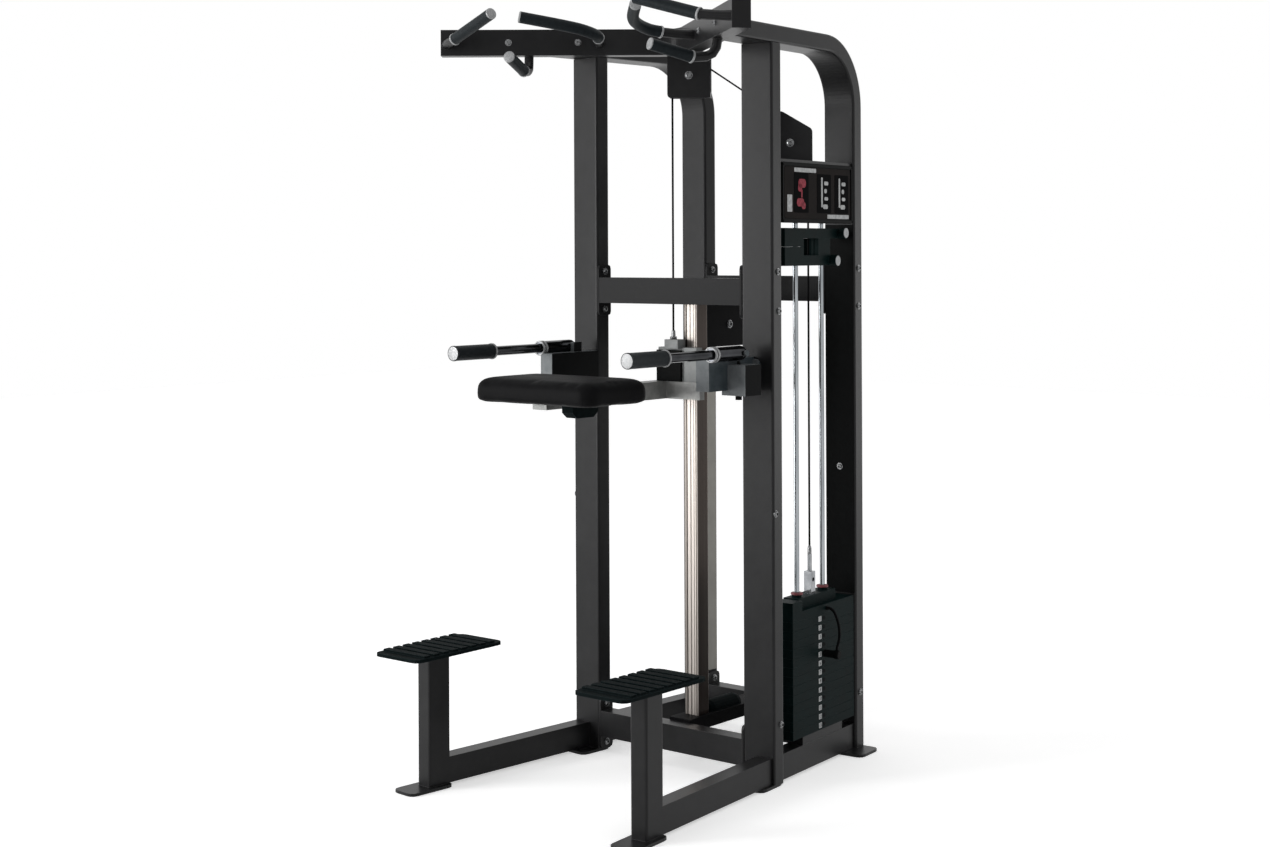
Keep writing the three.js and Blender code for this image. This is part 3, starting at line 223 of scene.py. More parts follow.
def lighten_edges(material, colour, radius):
    """Lets the finish go lighter where an edge is rounded: a painted highlight along the edges."""
    tree = material.node_tree
    ramp = first_of(tree.nodes, "VALTORGB")
    principled = tree.nodes["Principled BSDF"]
    eased = node(tree, "ShaderNodeBevel", samples=BEVEL_SAMPLES, Radius=radius)
    flat = node(tree, "ShaderNodeNewGeometry")
    agree = node(tree, "ShaderNodeVectorMath", operation="DOT_PRODUCT")
    tree.links.new(eased.outputs["Normal"], agree.inputs[0])
    tree.links.new(flat.outputs["Normal"], agree.inputs[1])
    highlit = node(tree, "ShaderNodeMapRange")
    highlit.inputs["From Min"].default_value = HIGHLIGHT_START
    highlit.inputs["From Max"].default_value = HIGHLIGHT_FULL
    tree.links.new(agree.outputs["Value"], highlit.inputs["Value"])
    mix, colours, result = mixed_colour(tree)
    colours[1].default_value = colour
    tree.links.new(highlit.outputs["Result"], mix.inputs["Factor"])
    tree.links.new(ramp.outputs["Color"], colours[0])
    tree.links.new(result, principled.inputs["Base Color"])


def band_colours(material, axis, bands):
    """Runs bands of colour down a profile, painted shade and reflection among them: (place along the axis,
    colour) from low to high.
    """
    tree = material.node_tree
    principled = tree.nodes["Principled BSDF"]
    mottle = first_of(tree.nodes, "VALTORGB")
    place = first_of(tree.nodes, "TEX_COORD")
    parts = node(tree, "ShaderNodeSeparateXYZ")
    tree.links.new(place.outputs["Object"], parts.inputs[0])
    low, high = bands[0][0], bands[-1][0]
    share = node(tree, "ShaderNodeMapRange")
    share.inputs["From Min"].default_value = low
    share.inputs["From Max"].default_value = high
    tree.links.new(parts.outputs[axis], share.inputs["Value"])
    ramp = node(tree, "ShaderNodeValToRGB")
    stops = ramp.color_ramp.elements
    while len(stops) < len(bands):
        stops.new(0.5)
    for stop, (spot, colour) in zip(stops, bands):
        stop.position = (spot - low) / (high - low)
        stop.color = colour
    tree.links.new(share.outputs["Result"], ramp.inputs["Fac"])
    mix, colours, result = mixed_colour(tree, blend_type="MULTIPLY")
    mix.inputs["Factor"].default_value = 1.0
    tree.links.new(mottle.outputs["Color"], colours[0])
    tree.links.new(ramp.outputs["Color"], colours[1])
    tree.links.new(result, principled.inputs["Base Color"])


def add_cells(material, scale, strength, distance):
    """Leather grain: a cell pattern under the fine bump."""
    tree = material.node_tree
    relief = first_of(tree.nodes, "BUMP")
    place = first_of(tree.nodes, "TEX_COORD")
    cells = node(tree, "ShaderNodeTexVoronoi", Scale=scale, feature="DISTANCE_TO_EDGE")
    tree.links.new(place.outputs["Object"], cells.inputs["Vector"])
    second = node(tree, "ShaderNodeBump", Strength=strength, Distance=distance)
    tree.links.new(cells.outputs["Distance"], second.inputs["Height"])
    tree.links.new(second.outputs["Normal"], relief.inputs["Normal"])


EDGE = 0.0018
# The lighter colours given to eased edges below are painted edge highlights
paint = surface("frame_paint", srgb(20, 20, 21), srgb(28, 28, 29), 14, (0.3, 0.38), 0.0,
                (1400, 0.25, 0.0004), edge=EDGE, Specular_IOR_Level=0.15)
lighten_edges(paint, srgb(50, 50, 51), 0.003)
crossbar_paint = surface("crossbar_paint", srgb(18, 18, 19), srgb(25, 25, 26), 14, (0.36, 0.44), 0.0,
                         (1400, 0.25, 0.0004), edge=EDGE, Specular_IOR_Level=0.07)
lighten_edges(crossbar_paint, srgb(50, 50, 51), 0.003)
tread_rubber = surface("tread_rubber", srgb(6, 12, 13), srgb(13, 21, 22), 60, (0.6, 0.8), 0.0,
                       (700, 0.5, 0.001), edge=0.0015, Specular_IOR_Level=0.03)
lighten_edges(tread_rubber, srgb(38, 48, 50), 0.002)
grip_rubber = surface("grip_rubber", srgb(17, 22, 25), srgb(26, 32, 35), 90, (0.42, 0.56), 0.0,
                      (1600, 0.5, 0.0006), Specular_IOR_Level=0.1)
roller_rubber = surface("roller_rubber", srgb(20, 20, 22), srgb(32, 32, 34), 80, (0.5, 0.6), 0.0,
                        (900, 0.3, 0.0004), Specular_IOR_Level=0.1)
chrome = surface("chrome", srgb(124, 126, 129), srgb(164, 166, 168), 20, (0.08, 0.16), 1.0,
                 (260, 0.04, 0.0003), edge=0.001)
# Stretched along the rods and the column, as drawn and brushed metal is
rod_chrome = surface("rod_chrome", srgb(132, 137, 141), srgb(168, 172, 175), 60, (0.1, 0.18), 1.0,
                     (260, 0.04, 0.0003), stretch=(1, 1, 0.1))
# Chrome darkened near to black for the dip arms: a painted dark reflection of the surroundings
arm_chrome_dark_reflection = surface("arm_chrome_dark_reflection", srgb(40, 41, 43), srgb(62, 63, 66), 16, (0.06, 0.14), 1.0,
                     (260, 0.04, 0.0003))
satin_chrome = surface("satin_chrome", srgb(104, 105, 104), srgb(136, 136, 134), 22, (0.42, 0.5), 0.55,
                       (260, 0.05, 0.0003), edge=0.001)
brushed = surface("column_aluminium", srgb(176, 171, 167), srgb(206, 201, 197), 420, (0.32, 0.42), 0.8,
                  (1200, 0.1, 0.0003), stretch=(1, 1, 0.002))
stack_paint = surface("stack_paint", srgb(5, 17, 17), srgb(12, 26, 26), 26, (0.42, 0.54), 0.0,
                      (1100, 0.3, 0.0005), edge=0.0012, Specular_IOR_Level=0.03)
lighten_edges(stack_paint, srgb(34, 46, 47), 0.0016)
grey_paint = surface("grey_paint", srgb(114, 116, 116), srgb(136, 138, 137), 24, (0.42, 0.52), 0.1,
                     (1200, 0.2, 0.0004), edge=EDGE, Specular_IOR_Level=0.2)
bracket_front = surface("bracket_front", srgb(84, 88, 90), srgb(104, 107, 109), 30, (0.34, 0.46), 0.1,
                        (1200, 0.2, 0.0004), edge=EDGE, Specular_IOR_Level=0.15)
bracket_blue = surface("bracket_blue", srgb(50, 58, 62), srgb(66, 73, 77), 30, (0.34, 0.46), 0.1,
                       (1200, 0.2, 0.0004), edge=EDGE, Specular_IOR_Level=0.15)
# Near black for the brackets' side faces: painted shade
bracket_side_shade = surface("bracket_side_shade", srgb(7, 8, 8), srgb(13, 14, 15), 30, (0.44, 0.56), 0.0,
                       (1200, 0.2, 0.0004), edge=EDGE, Specular_IOR_Level=0.03)
base_paint = surface("base_paint", srgb(11, 11, 12), srgb(18, 18, 19), 14, (0.5, 0.6), 0.0,
                     (1400, 0.25, 0.0004), edge=EDGE, Specular_IOR_Level=0.03)
plastic = surface("black_plastic", srgb(7, 8, 8), srgb(13, 14, 14), 60, (0.42, 0.54), 0.0,
                  (1300, 0.25, 0.0004), edge=0.001, Specular_IOR_Level=0.03)
sheath = surface("cable_sheath", srgb(5, 5, 6), srgb(12, 12, 13), 200, (0.5, 0.6), 0.0,
                 (1500, 0.4, 0.0004), Specular_IOR_Level=0.03)
vinyl = surface("vinyl", srgb(13, 13, 14), srgb(19, 19, 20), 18, (0.46, 0.58), 0.0,
                (420, 0.22, 0.0008), Specular_IOR_Level=0.03)
add_cells(vinyl, 520, 0.2, 0.0004)
silver = surface("silver_cap", srgb(122, 123, 124), srgb(168, 169, 170), 260, (0.3, 0.45), 0.2,
                 (800, 0.5, 0.0005))
bolt_steel = surface("bolt_steel", srgb(92, 93, 94), srgb(146, 147, 148), 260, (0.2, 0.34), 0.85,
                     (900, 0.3, 0.0003))
knob_grey = surface("knob_grey", srgb(140, 143, 145), srgb(168, 170, 172), 90, (0.4, 0.5), 0.0,
                    (800, 0.3, 0.0004))
bush_red = surface("bushing_red", srgb(96, 38, 44), srgb(122, 54, 60), 90, (0.45, 0.6), 0.0,
                   (900, 0.3, 0.0004))
placard_face = surface("placard_face", srgb(15, 12, 11), srgb(31, 26, 25), 9, (0.45, 0.56), 0.0,
                       (800, 0.15, 0.0003), Specular_IOR_Level=0.02)
picture_dark = surface("picture_dark", srgb(2, 2, 3), srgb(5, 5, 6), 40, (0.5, 0.6), 0.0,
                       (600, 0.15, 0.0003), Specular_IOR_Level=0.01)
picture_red = surface("picture_red", srgb(120, 34, 46), srgb(168, 66, 80), 160, (0.4, 0.5), 0.0,
                      (600, 0.15, 0.0003), Specular_IOR_Level=0.06)
print_white = surface("print_white", srgb(164, 166, 167), srgb(204, 205, 205), 90, (0.45, 0.6), 0.0,
                      (600, 0.15, 0.0003), Specular_IOR_Level=0.08)
pale_strip = surface("pale_strip", srgb(150, 147, 140), srgb(166, 163, 156), 12, (0.5, 0.6), 0.0,
                     (700, 0.2, 0.0004))
# Black for the printed numbers, and painted shade for the pin holes
print_and_hole_shade = surface("print_and_hole_shade", srgb(5, 6, 6), srgb(9, 10, 10), 90, (0.6, 0.8), 0.0,
                    (600, 0.2, 0.0003), Specular_IOR_Level=0.06)

SLOT_FINISH = {
    "frame_paint": paint,
    "rubber_black": tread_rubber,
    "grip_rubber": grip_rubber,
    "roller_rubber": roller_rubber,
    "column_aluminium": brushed,
    "chrome": chrome,
    "stack_paint": stack_paint,
    "grey_paint": grey_paint,
    "black_plastic": plastic,
    "cable_sheath": sheath,
    "vinyl": vinyl,
}
NODE_FINISH = {
    "guide_rod_front": rod_chrome,
    "guide_rod_rear": rod_chrome,
    "carriage_arm": satin_chrome,
    "dip_arm_left": arm_chrome_dark_reflection,
    "dip_arm_right": arm_chrome_dark_reflection,
    "dip_bracket_left": bracket_front,
    "dip_bracket_right": bracket_front,
    "crossbar_front_middle": crossbar_paint,
    "crossbar_rear_middle": crossbar_paint,
    "column_base": base_paint,
    "column_rear_brace": base_paint,
}
# Faces that look to the sides: the first finish in the range of places across, the second elsewhere, near black
# as painted shade
SIDE_FINISH = {
    "dip_bracket_left": (bracket_blue, bracket_side_shade),
    "dip_bracket_right": (bracket_blue, bracket_side_shade),
}
SIDE_LOOK = 0.8
BLUE_RANGE = (0.28, 0.34)
# Faces above a height
UPPER_FINISH = {"stack_top_plate": (0.4975, chrome)}
# Grooves down the column's front, as shares of its width: start, end
COLUMN_GROOVES = [(0.19, 0.25), (0.52, 0.55), (0.86, 0.92)]
# Colours across the column: its own on the lands, painted shade in the grooves and at the left edge, a painted
# dark reflection on the right face
COLUMN_LAND = srgb(202, 199, 196)
COLUMN_GROOVE_SHADE = srgb(94, 89, 85)
COLUMN_LEFT_SHADE = srgb(140, 137, 134)
COLUMN_RIGHT_REFLECTION = srgb(96, 87, 82)
GROOVE_EDGE = 0.015
SMOOTH_ANGLE = math.radians(32)


def shade_by_angle(mesh):
    """Smooth faces, with the edges between faces that turn further kept sharp."""
    work = bmesh.new()
    work.from_mesh(mesh)
    for face in work.faces:
        face.smooth = True
    for edge in work.edges:
        edge.smooth = len(edge.link_faces) == 2 and edge.calc_face_angle(0) < SMOOTH_ANGLE
    work.to_mesh(mesh)
    work.free()


def dress_nodes():
    """Gives each solid its finish and smooth shading."""
    # Bands across the column: painted shade in the grooves and at the left edge, a painted dark reflection on
    # the right face
    low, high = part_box("guide_column")
    bands = [(0, COLUMN_LEFT_SHADE)]
    for start, end in COLUMN_GROOVES:
        bands += [(start - GROOVE_EDGE, bands[-1][1]), (start, COLUMN_GROOVE_SHADE), (end, COLUMN_GROOVE_SHADE),
                  (end + GROOVE_EDGE, COLUMN_LAND)]
    bands += [(1 - GROOVE_EDGE, COLUMN_LAND), (1, COLUMN_RIGHT_REFLECTION)]
    band_colours(brushed, "X", [(low.x + share * (high.x - low.x), colour) for share, colour in bands])
    for part in frame["record"]["subparts"]:
        name = part["node"]
        item = nodes[name]
        finish = NODE_FINISH.get(name, SLOT_FINISH[part["material_slot"]])
        item.data.materials.clear()
        item.data.materials.append(finish)
        if name in SIDE_FINISH:
            for other in SIDE_FINISH[name]:
                item.data.materials.append(other)
            for face in item.data.polygons:
                if abs(face.normal.x) > SIDE_LOOK:
                    face.material_index = 1 if BLUE_RANGE[0] < abs(face.center.x) < BLUE_RANGE[1] else 2
        if name in UPPER_FINISH:
            height, upper = UPPER_FINISH[name]
            item.data.materials.append(upper)
            for face in item.data.polygons:
                face.material_index = int(face.center.z > height)
        shade_by_angle(item.data)


# Pieces


def add_piece(name, work, finish, body):
    """Turns a bmesh in the part's frame into a piece, which rides on a body if one is named."""
    bmesh.ops.remove_doubles(work, verts=work.verts, dist=1e-6)
    bmesh.ops.recalc_face_normals(work, faces=work.faces)
    mesh = bpy.data.meshes.new(name)
    work.to_mesh(mesh)
    work.free()
    shade_by_angle(mesh)
    item = bpy.data.objects.new(name, mesh)
    bpy.context.scene.collection.objects.link(item)
    mesh.materials.append(finish)
    if body:
        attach(item, body)
    return item


def turned(work, profile, place, segments=32):
    """Adds a turned shape: profile points as (radius, along the axis)."""
    rings = []
    for radius, along in profile:
        if radius < 1e-7:
            rings.append([work.verts.new(place @ Vector((0, 0, along)))])
            continue
        ring = []
        for step in range(segments):
            angle = 2 * math.pi * step / segments
            spot = Vector((radius * math.cos(angle), radius * math.sin(angle), along))
            ring.append(work.verts.new(place @ spot))
        rings.append(ring)
    for low, high in zip(rings, rings[1:]):
        for step in range(segments):
            after = (step + 1) % segments
            corners = [low[step % len(low)], low[after % len(low)],
                       high[after % len(high)], high[step % len(high)]]
            unique = list(dict.fromkeys(corners))
            if len(unique) > 2:
                work.faces.new(unique)


def slab(work, place, low, high, radius=0.0, steps=5, edge=0.0006):
    """Adds a flat plate in the XY plane of a frame, with rounded corners and eased edges."""
    def outline(inset):
        r = max(radius - inset, 1e-5)
        points = []
        corners = [(high[0], high[1], 0), (low[0], high[1], 1), (low[0], low[1], 2), (high[0], low[1], 3)]
        for x, y, quarter in corners:
            centre_x = x - math.copysign(inset + r, x - (low[0] + high[0]) / 2)
            centre_y = y - math.copysign(inset + r, y - (low[1] + high[1]) / 2)
            for step in range(steps + 1):
                angle = (quarter + step / steps) * math.pi / 2
                points.append((centre_x + r * math.cos(angle), centre_y + r * math.sin(angle)))
        return points
    levels = [(edge, low[2]), (0, low[2] + edge), (0, high[2] - edge), (edge, high[2])]
    rings = [[work.verts.new(place @ Vector((x, y, z))) for x, y in outline(inset)] for inset, z in levels]
    for under, over in zip(rings, rings[1:]):
        count = len(under)
        for step in range(count):
            after = (step + 1) % count
            work.faces.new((under[step], under[after], over[after], over[step]))
    work.faces.new(list(reversed(rings[0])))
    work.faces.new(rings[-1])


CURVE_STEPS = 20


def smooth_path(points, count):
    """Points evenly spread along a smooth curve through the given ones."""
    spots = [Vector(point) for point in points]
    ends = [spots[0] * 2 - spots[1]] + spots + [spots[-1] * 2 - spots[-2]]
    dense = []
    for a, b, c, d in zip(ends, ends[1:], ends[2:], ends[3:]):
        for step in range(CURVE_STEPS):
            t = step / CURVE_STEPS
            dense.append(0.5 * (2 * b + (c - a) * t + (2 * a - 5 * b + 4 * c - d) * t ** 2
                                + (3 * b - a - 3 * c + d) * t ** 3))
    dense.append(spots[-1])
    lengths = np.cumsum([0] + [(q - p).length for p, q in zip(dense, dense[1:])])
    table = np.array([tuple(point) for point in dense])
    wanted = np.linspace(0, lengths[-1], count)
    return [Vector([np.interp(w, lengths, table[:, axis]) for axis in range(3)]) for w in wanted]


def tube(work, path, radius, segments=16):
    """Adds a round tube along points, closed at both ends."""
    tangent = (path[1] - path[0]).normalized()
    side = tangent.orthogonal().normalized()
    rings = []
    for index, point in enumerate(path):
        before = path[max(index - 1, 0)]
        after = path[min(index + 1, len(path) - 1)]
        new_tangent = (after - before).normalized()
        side = tangent.rotation_difference(new_tangent) @ side
        tangent = new_tangent
        other = tangent.cross(side)
        ring = []
        for step in range(segments):
            angle = 2 * math.pi * step / segments
            ring.append(work.verts.new(point + (side * math.cos(angle) + other * math.sin(angle)) * radius))
        rings.append(ring)
    for low, high in zip(rings, rings[1:]):
        for step in range(segments):
            after = (step + 1) % segments
            work.faces.new((low[step], low[after], high[after], high[step]))
    work.faces.new(list(reversed(rings[0])))
    work.faces.new(rings[-1])


# Fastenings


def bolt_profile(radius, height):
    """Button head on a washer, with a round socket."""
    return [
        (0, 0), (radius * 1.25, 0), (radius * 1.25, height * 0.25), (radius, height * 0.25),
        (radius * 0.97, height * 0.55), (radius * 0.86, height * 0.85), (radius * 0.66, height),
        (radius * 0.56, height), (radius * 0.5, height * 0.14), (0, height * 0.1),
    ]


def add_bolts(name, places, radius=0.0078, height=0.006):
    """One piece on the frame holding the bolts of a group: places are (point, direction)."""
    work = bmesh.new()
    for point, direction in places:
        turned(work, bolt_profile(radius, height), facing(point, direction), 24)
    return add_piece(name, work, bolt_steel, "frame")


PLATE_BOLT_REACH = 0.056
PLATE_FACE = -UPRIGHT_WIDTH - SEAT - PLATE_THICKNESS
BEAM_BOLTS = (0.2885, 0.4895)
HOUSING_FACE = 0.018
BRACE_BOLT_Y = 0.259 + ORIGIN_Y
BRACE_BOLT_HEIGHT = 1.262
# Bolts on the side frames' outer faces: rearwards, up
OUTER_BOLTS = [
    (0.029, 1.421), (0.033, 1.312), (0.035, 0.169), (0.011, 0.754),
    (0.498, 1.426), (0.498, 1.314), (0.498, 0.17),
]


def make_bolts():
    """Bolts of the side frames, the crossbars' end plates, the beam, the pulleys and the brace."""
    for side, label in ((-1, "left"), (1, "right")):
        outward = side_axis(side, 1, 0)
        places = [(side_point(side, 0, along, height), outward) for along, height in OUTER_BOLTS]
        add_bolts(f"outer_bolts_{label}", places)
        places = []
        for middle in CROSSBAR_HEIGHTS:
            for along in (UPRIGHT_DEPTH / 2, FRAME_DEPTH + UPRIGHT_DEPTH / 2):
                for rise in (-PLATE_BOLT_REACH, PLATE_BOLT_REACH):
                    places.append((side_point(side, PLATE_FACE, along, middle + rise), -outward))
        add_bolts(f"plate_bolts_{label}", places)
        front = Vector((-side * math.sin(BEAM_ANGLE), -math.cos(BEAM_ANGLE), 0))
        places = [(beam_point(side, along, 0, BEAM_MIDDLE_Z), front) for along in BEAM_BOLTS]
        add_bolts(f"beam_bolts_{label}", places)
    across = plane_point(0, 1, 0) - plane_point(0, 0, 0)
    axles = [(0, TOP_PULLEY_HEIGHT), (STACK_PULLEY_ALONG, STACK_PULLEY_HEIGHT)]
    places = [(plane_point(along, way * HOUSING_FACE, height), across * way)
              for way in (1, -1) for along, height in axles]
    add_bolts("pulley_bolts", places, radius=0.0094, height=0.008)
    low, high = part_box("column_rear_brace")
    places = [((high.x, BRACE_BOLT_Y, BRACE_BOLT_HEIGHT), (1, 0, 0)),
              ((low.x, BRACE_BOLT_Y, BRACE_BOLT_HEIGHT), (-1, 0, 0))]
    add_bolts("brace_bolts", places, radius=0.01)


# Grips, their rings and caps; a profile is radius and place along the axis


BEAM_ARM = (FRAME_WIDTH / 2 + BEAM_OVERHANG) / math.cos(BEAM_ANGLE)
# Shares of the arm's length: along it, behind its front face, up from its middle
CHIN_GRIPS = {
    "end": [(0.933, -0.105, 0.002), (0.761, -0.328, 0.084)],
    "under": [(0.644, -0.073, -0.129), (0.698, -0.257, -0.084)],
    "inner": [
        (0.331, -0.134, 0.002), (0.346, -0.19, 0.011), (0.403, -0.247, 0.026), (0.49, -0.28, 0.042),
        (0.656, -0.3, 0.072),
    ],
}
GRIP_RADIUS = 0.0163
GRIP_STEPS = 40
RING_LENGTH = 0.005
RING_PROFILE = [
    (0.0138, -0.0048), (0.0168, -0.0048), (0.0176, -0.0036), (0.0176, 0.0), (0.0166, 0.0012), (0.0138, 0.0012),
]
CAP_LENGTH = 0.0052
CAP_PROFILE = [
    (0.015, -0.0006), (0.0163, -0.0006), (0.0164, 0.0014), (0.0158, 0.0032), (0.013, 0.0042), (0, 0.0048),
]


def make_chin_grips():
    """Rubber sleeves on the six chin-up handles, with a ring at one end and a cap at the other."""
    for side, label in ((-1, "left"), (1, "right")):
        for kind, route in CHIN_GRIPS.items():
            points = [beam_point(side, along * BEAM_ARM, off * BEAM_ARM, BEAM_MIDDLE_Z + up * BEAM_ARM)
                      for along, off, up in route]
            start = points[0] + (points[1] - points[0]).normalized() * RING_LENGTH
            stop = points[-1] - (points[-1] - points[-2]).normalized() * CAP_LENGTH
            path = smooth_path([start, *points[1:-1], stop], GRIP_STEPS)
            work = bmesh.new()
            tube(work, path, GRIP_RADIUS, 40)
            skin = add_piece(f"chin_grip_skin_{kind}_{label}", work, grip_rubber, "frame")
            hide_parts(f"chin_grip_{kind}_{label}")
            work = bmesh.new()
            turned(work, RING_PROFILE, facing(start, points[1] - points[0]))
            add_piece(f"chin_ring_{kind}_{label}", work, silver, "frame")
            work = bmesh.new()
            turned(work, CAP_PROFILE, facing(path[-1], path[-1] - path[-2]))
            add_piece(f"chin_cap_{kind}_{label}", work, silver, "frame")


DIP_ROD_SKIN = 0.0139  # just outside the arm's rod
DIP_RING_BORE = 0.0137
DIP_CAP_LENGTH = 0.0058
COLLAR_Y = (-0.212 + ORIGIN_Y, -0.2 + ORIGIN_Y)
COLLAR_PROFILE = [
    (0.0178, -0.002), (0.0205, -0.002), (0.0215, -0.0006), (0.0215, 0.004), (0.0205, 0.0054), (0.0178, 0.0054),
]


def make_dip_grips():
    """Rubber sleeves on the dip arms, their caps and rings, and the rings on the arms' collars."""
    for label in ("left", "right"):
        body = f"{label}_dip"
        low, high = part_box(f"dip_grip_{label}")
        middle = (low + high) / 2
        radius = (high.z - low.z) / 2
        front, back = low.y, high.y
        work = bmesh.new()
        profile = [
            (DIP_ROD_SKIN, 0.0), (radius * 0.93, 0.0), (radius * 0.985, 0.0016), (radius, 0.004),
            (radius * 0.97, 0.008), (radius * 0.97, back - front - 0.01), (radius, back - front - 0.006),
            (radius * 0.985, back - front - 0.0015), (radius * 0.9, back - front - 0.0004),
        ]
        turned(work, profile, facing((middle.x, back, middle.z), (0, -1, 0)), 48)
        skin = add_piece(f"dip_grip_skin_{label}", work, grip_rubber, body)
        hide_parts(f"dip_grip_{label}")
        work = bmesh.new()
        cap = [(radius * 0.92, 0.0), (radius * 0.985, -0.0004), (radius * 0.99, -0.003),
               (radius * 0.94, -0.0048), (radius * 0.7, -0.0056), (0, -DIP_CAP_LENGTH)]
        cap = [(r, -along - DIP_CAP_LENGTH) for r, along in cap]
        turned(work, cap, facing((middle.x, front, middle.z), (0, -1, 0)), 48)
        add_piece(f"dip_cap_{label}", work, silver, body)
        work = bmesh.new()
        ring = [(DIP_RING_BORE, 0), (radius * 1.02, 0), (radius * 1.06, 0.0012), (radius * 1.06, 0.0042),
                (radius, 0.0054), (DIP_RING_BORE, 0.0054)]
        turned(work, ring, facing((middle.x, back + SEAT, middle.z), (0, 1, 0)), 48)
        add_piece(f"dip_ring_{label}", work, silver, body)
        work = bmesh.new()
        for y in COLLAR_Y:
            turned(work, COLLAR_PROFILE, facing((middle.x, y, middle.z), (0, 1, 0)), 48)
        add_piece(f"dip_collar_rings_{label}", work, silver, body)


# Knee pad


PAD_SHRINK = 0.004  # the start of the cushion, inside the solid
PAD_VOXEL = 0.006
PAD_PRESSURE = 4
PAD_FRAMES = 20
PAD_SWELL = 0.006  # the most that a point may move
PAD_MARGIN = 0.0004  # the cushion stays this far inside the solid's box


def make_knee_pad():
    """Vinyl cushion: the solid's form, a little smaller, then filled out by pressure."""
    source = nodes["knee_pad"]
    low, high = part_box("knee_pad")
    mesh = source.data.copy()
    mesh.materials.clear()
    pad = bpy.data.objects.new("knee_pad_cushion", mesh)
    bpy.context.scene.collection.objects.link(pad)
    middle = (low + high) / 2
    for vertex in mesh.vertices:
        offset = vertex.co - middle
        for axis in range(3):
            reach = (high[axis] - low[axis]) / 2
            offset[axis] *= (reach - PAD_SHRINK) / reach
        vertex.co = middle + offset
    remesh = pad.modifiers.new("Remesh", "REMESH")
    remesh.mode = "VOXEL"
    remesh.voxel_size = PAD_VOXEL
    bake(pad)
    rest = [vertex.co.copy() for vertex in pad.data.vertices]
    cloth = pad.modifiers.new("Cloth", "CLOTH")
    cloth.settings.use_pressure = True
    cloth.settings.uniform_pressure_force = PAD_PRESSURE
    cloth.settings.effector_weights.gravity = 0
    cloth.settings.quality = 5
    scene = bpy.context.scene
    for step in range(1, PAD_FRAMES + 1):
        scene.frame_set(step)
    bake(pad)
    scene.frame_set(1)
    for vertex, start in zip(pad.data.vertices, rest):
        moved = vertex.co - start
        if moved.length > PAD_SWELL:
            vertex.co = start + moved * (PAD_SWELL / moved.length)
    for vertex in pad.data.vertices:
        for axis in range(3):
            vertex.co[axis] = min(max(vertex.co[axis], low[axis] + PAD_MARGIN), high[axis] - PAD_MARGIN)
    sub = pad.modifiers.new("Subdivision", "SUBSURF")
    sub.levels = 1
    sub.render_levels = 1
    for face in pad.data.polygons:
        face.use_smooth = True
    pad.data.materials.append(vinyl)
    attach(pad, "carriage")
    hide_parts("knee_pad")


def bake(item):
    """Applies every modifier of a mesh object."""
    graph = bpy.context.evaluated_depsgraph_get()
    made = bpy.data.meshes.new_from_object(item.evaluated_get(graph))
    item.modifiers.clear()
    item.data = made


# Cables and lanyard


CABLE_RADIUS = 0.003
CABLE_STEPS = 30


def cable_run(name, box):
    """An upright run of cable down the middle of a box: the piece, its top and its foot."""
    low, high = box
    middle = (low + high) / 2
    top = Vector((middle.x, middle.y, high.z))
    foot = Vector((middle.x, middle.y, low.z))
    work = bmesh.new()
    tube(work, smooth_path([top, (top + foot) / 2, foot], CABLE_STEPS), CABLE_RADIUS, 16)
    return add_piece(name, work, sheath, None), top, foot


def make_cables():
    """The runs from the pulleys down to what they move, each a tube in place of its solid."""
    run, top, foot = cable_run("carriage_cable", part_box("cable_to_carriage"))
    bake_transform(run)
    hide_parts("cable_to_carriage")
    run, top, foot = cable_run("stack_cable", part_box("cable_to_stack"))
    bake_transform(run)
    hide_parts("cable_to_stack")


PIN_ALONG = 0.2845
PIN_HEIGHT = 0.3224
PIN_OUT = 0.04
PIN_RADIUS = 0.011
LANYARD_TOP = 0.4492
LANYARD_RADIUS = 0.0039
LANYARD_STEPS = 60
# Route of the lanyard in the right side frame: outwards, rearwards, share of the drop
LANYARD_ROUTE = [
    (-0.0027, 0.3, 0), (0.008, 0.3, -0.005), (0.022, 0.302, 0.09), (0.035, 0.303, 0.38), (0.041, 0.297, 0.68),
    (PIN_OUT, PIN_ALONG, 0.93), (PIN_OUT, PIN_ALONG, 1),
]


def make_lanyard():
    """The cord from the stack's top plate to the selector pin, its eye, and a band on the pin."""
    foot = PIN_HEIGHT + PIN_RADIUS + SEAT
    points = [side_point(1, out, along, LANYARD_TOP + (foot - LANYARD_TOP) * drop)
              for out, along, drop in LANYARD_ROUTE]
    path = smooth_path(points, LANYARD_STEPS)
    work = bmesh.new()
    tube(work, path, LANYARD_RADIUS, 16)
    cord = add_piece("lanyard_cord", work, sheath, None)
    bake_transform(cord)
    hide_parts("selector_lanyard")
    work = bmesh.new()
    eye = [(0, -0.001), (0.0052, -0.001), (0.0056, 0.001), (0.005, 0.006), (0.0037, 0.008), (0.0034, 0.008)]
    turned(work, eye, facing(points[0], side_axis(1, 1, 0)), 20)
    add_piece("lanyard_eye", work, plastic, "stack")
    work = bmesh.new()
    band = [(0.0113, -0.0075), (0.0128, -0.0065), (0.0132, 0), (0.0128, 0.0065), (0.0113, 0.0075)]
    turned(work, band, facing(side_point(1, PIN_OUT, PIN_ALONG, PIN_HEIGHT), side_axis(1, 1, 0)), 32)
    add_piece("pin_band", work, plastic, "selector")


# Weight stack


STACK_BOTTOM = 0.1065
PLATE = 0.0254
PLATE_COUNT = 13
LIFTED = 5
STACK_FACE = -0.003
NUMBER_ALONG = 0.262
NUMBER_SIZE = 0.0135
TILE_FACE = STACK_FACE + 0.0007


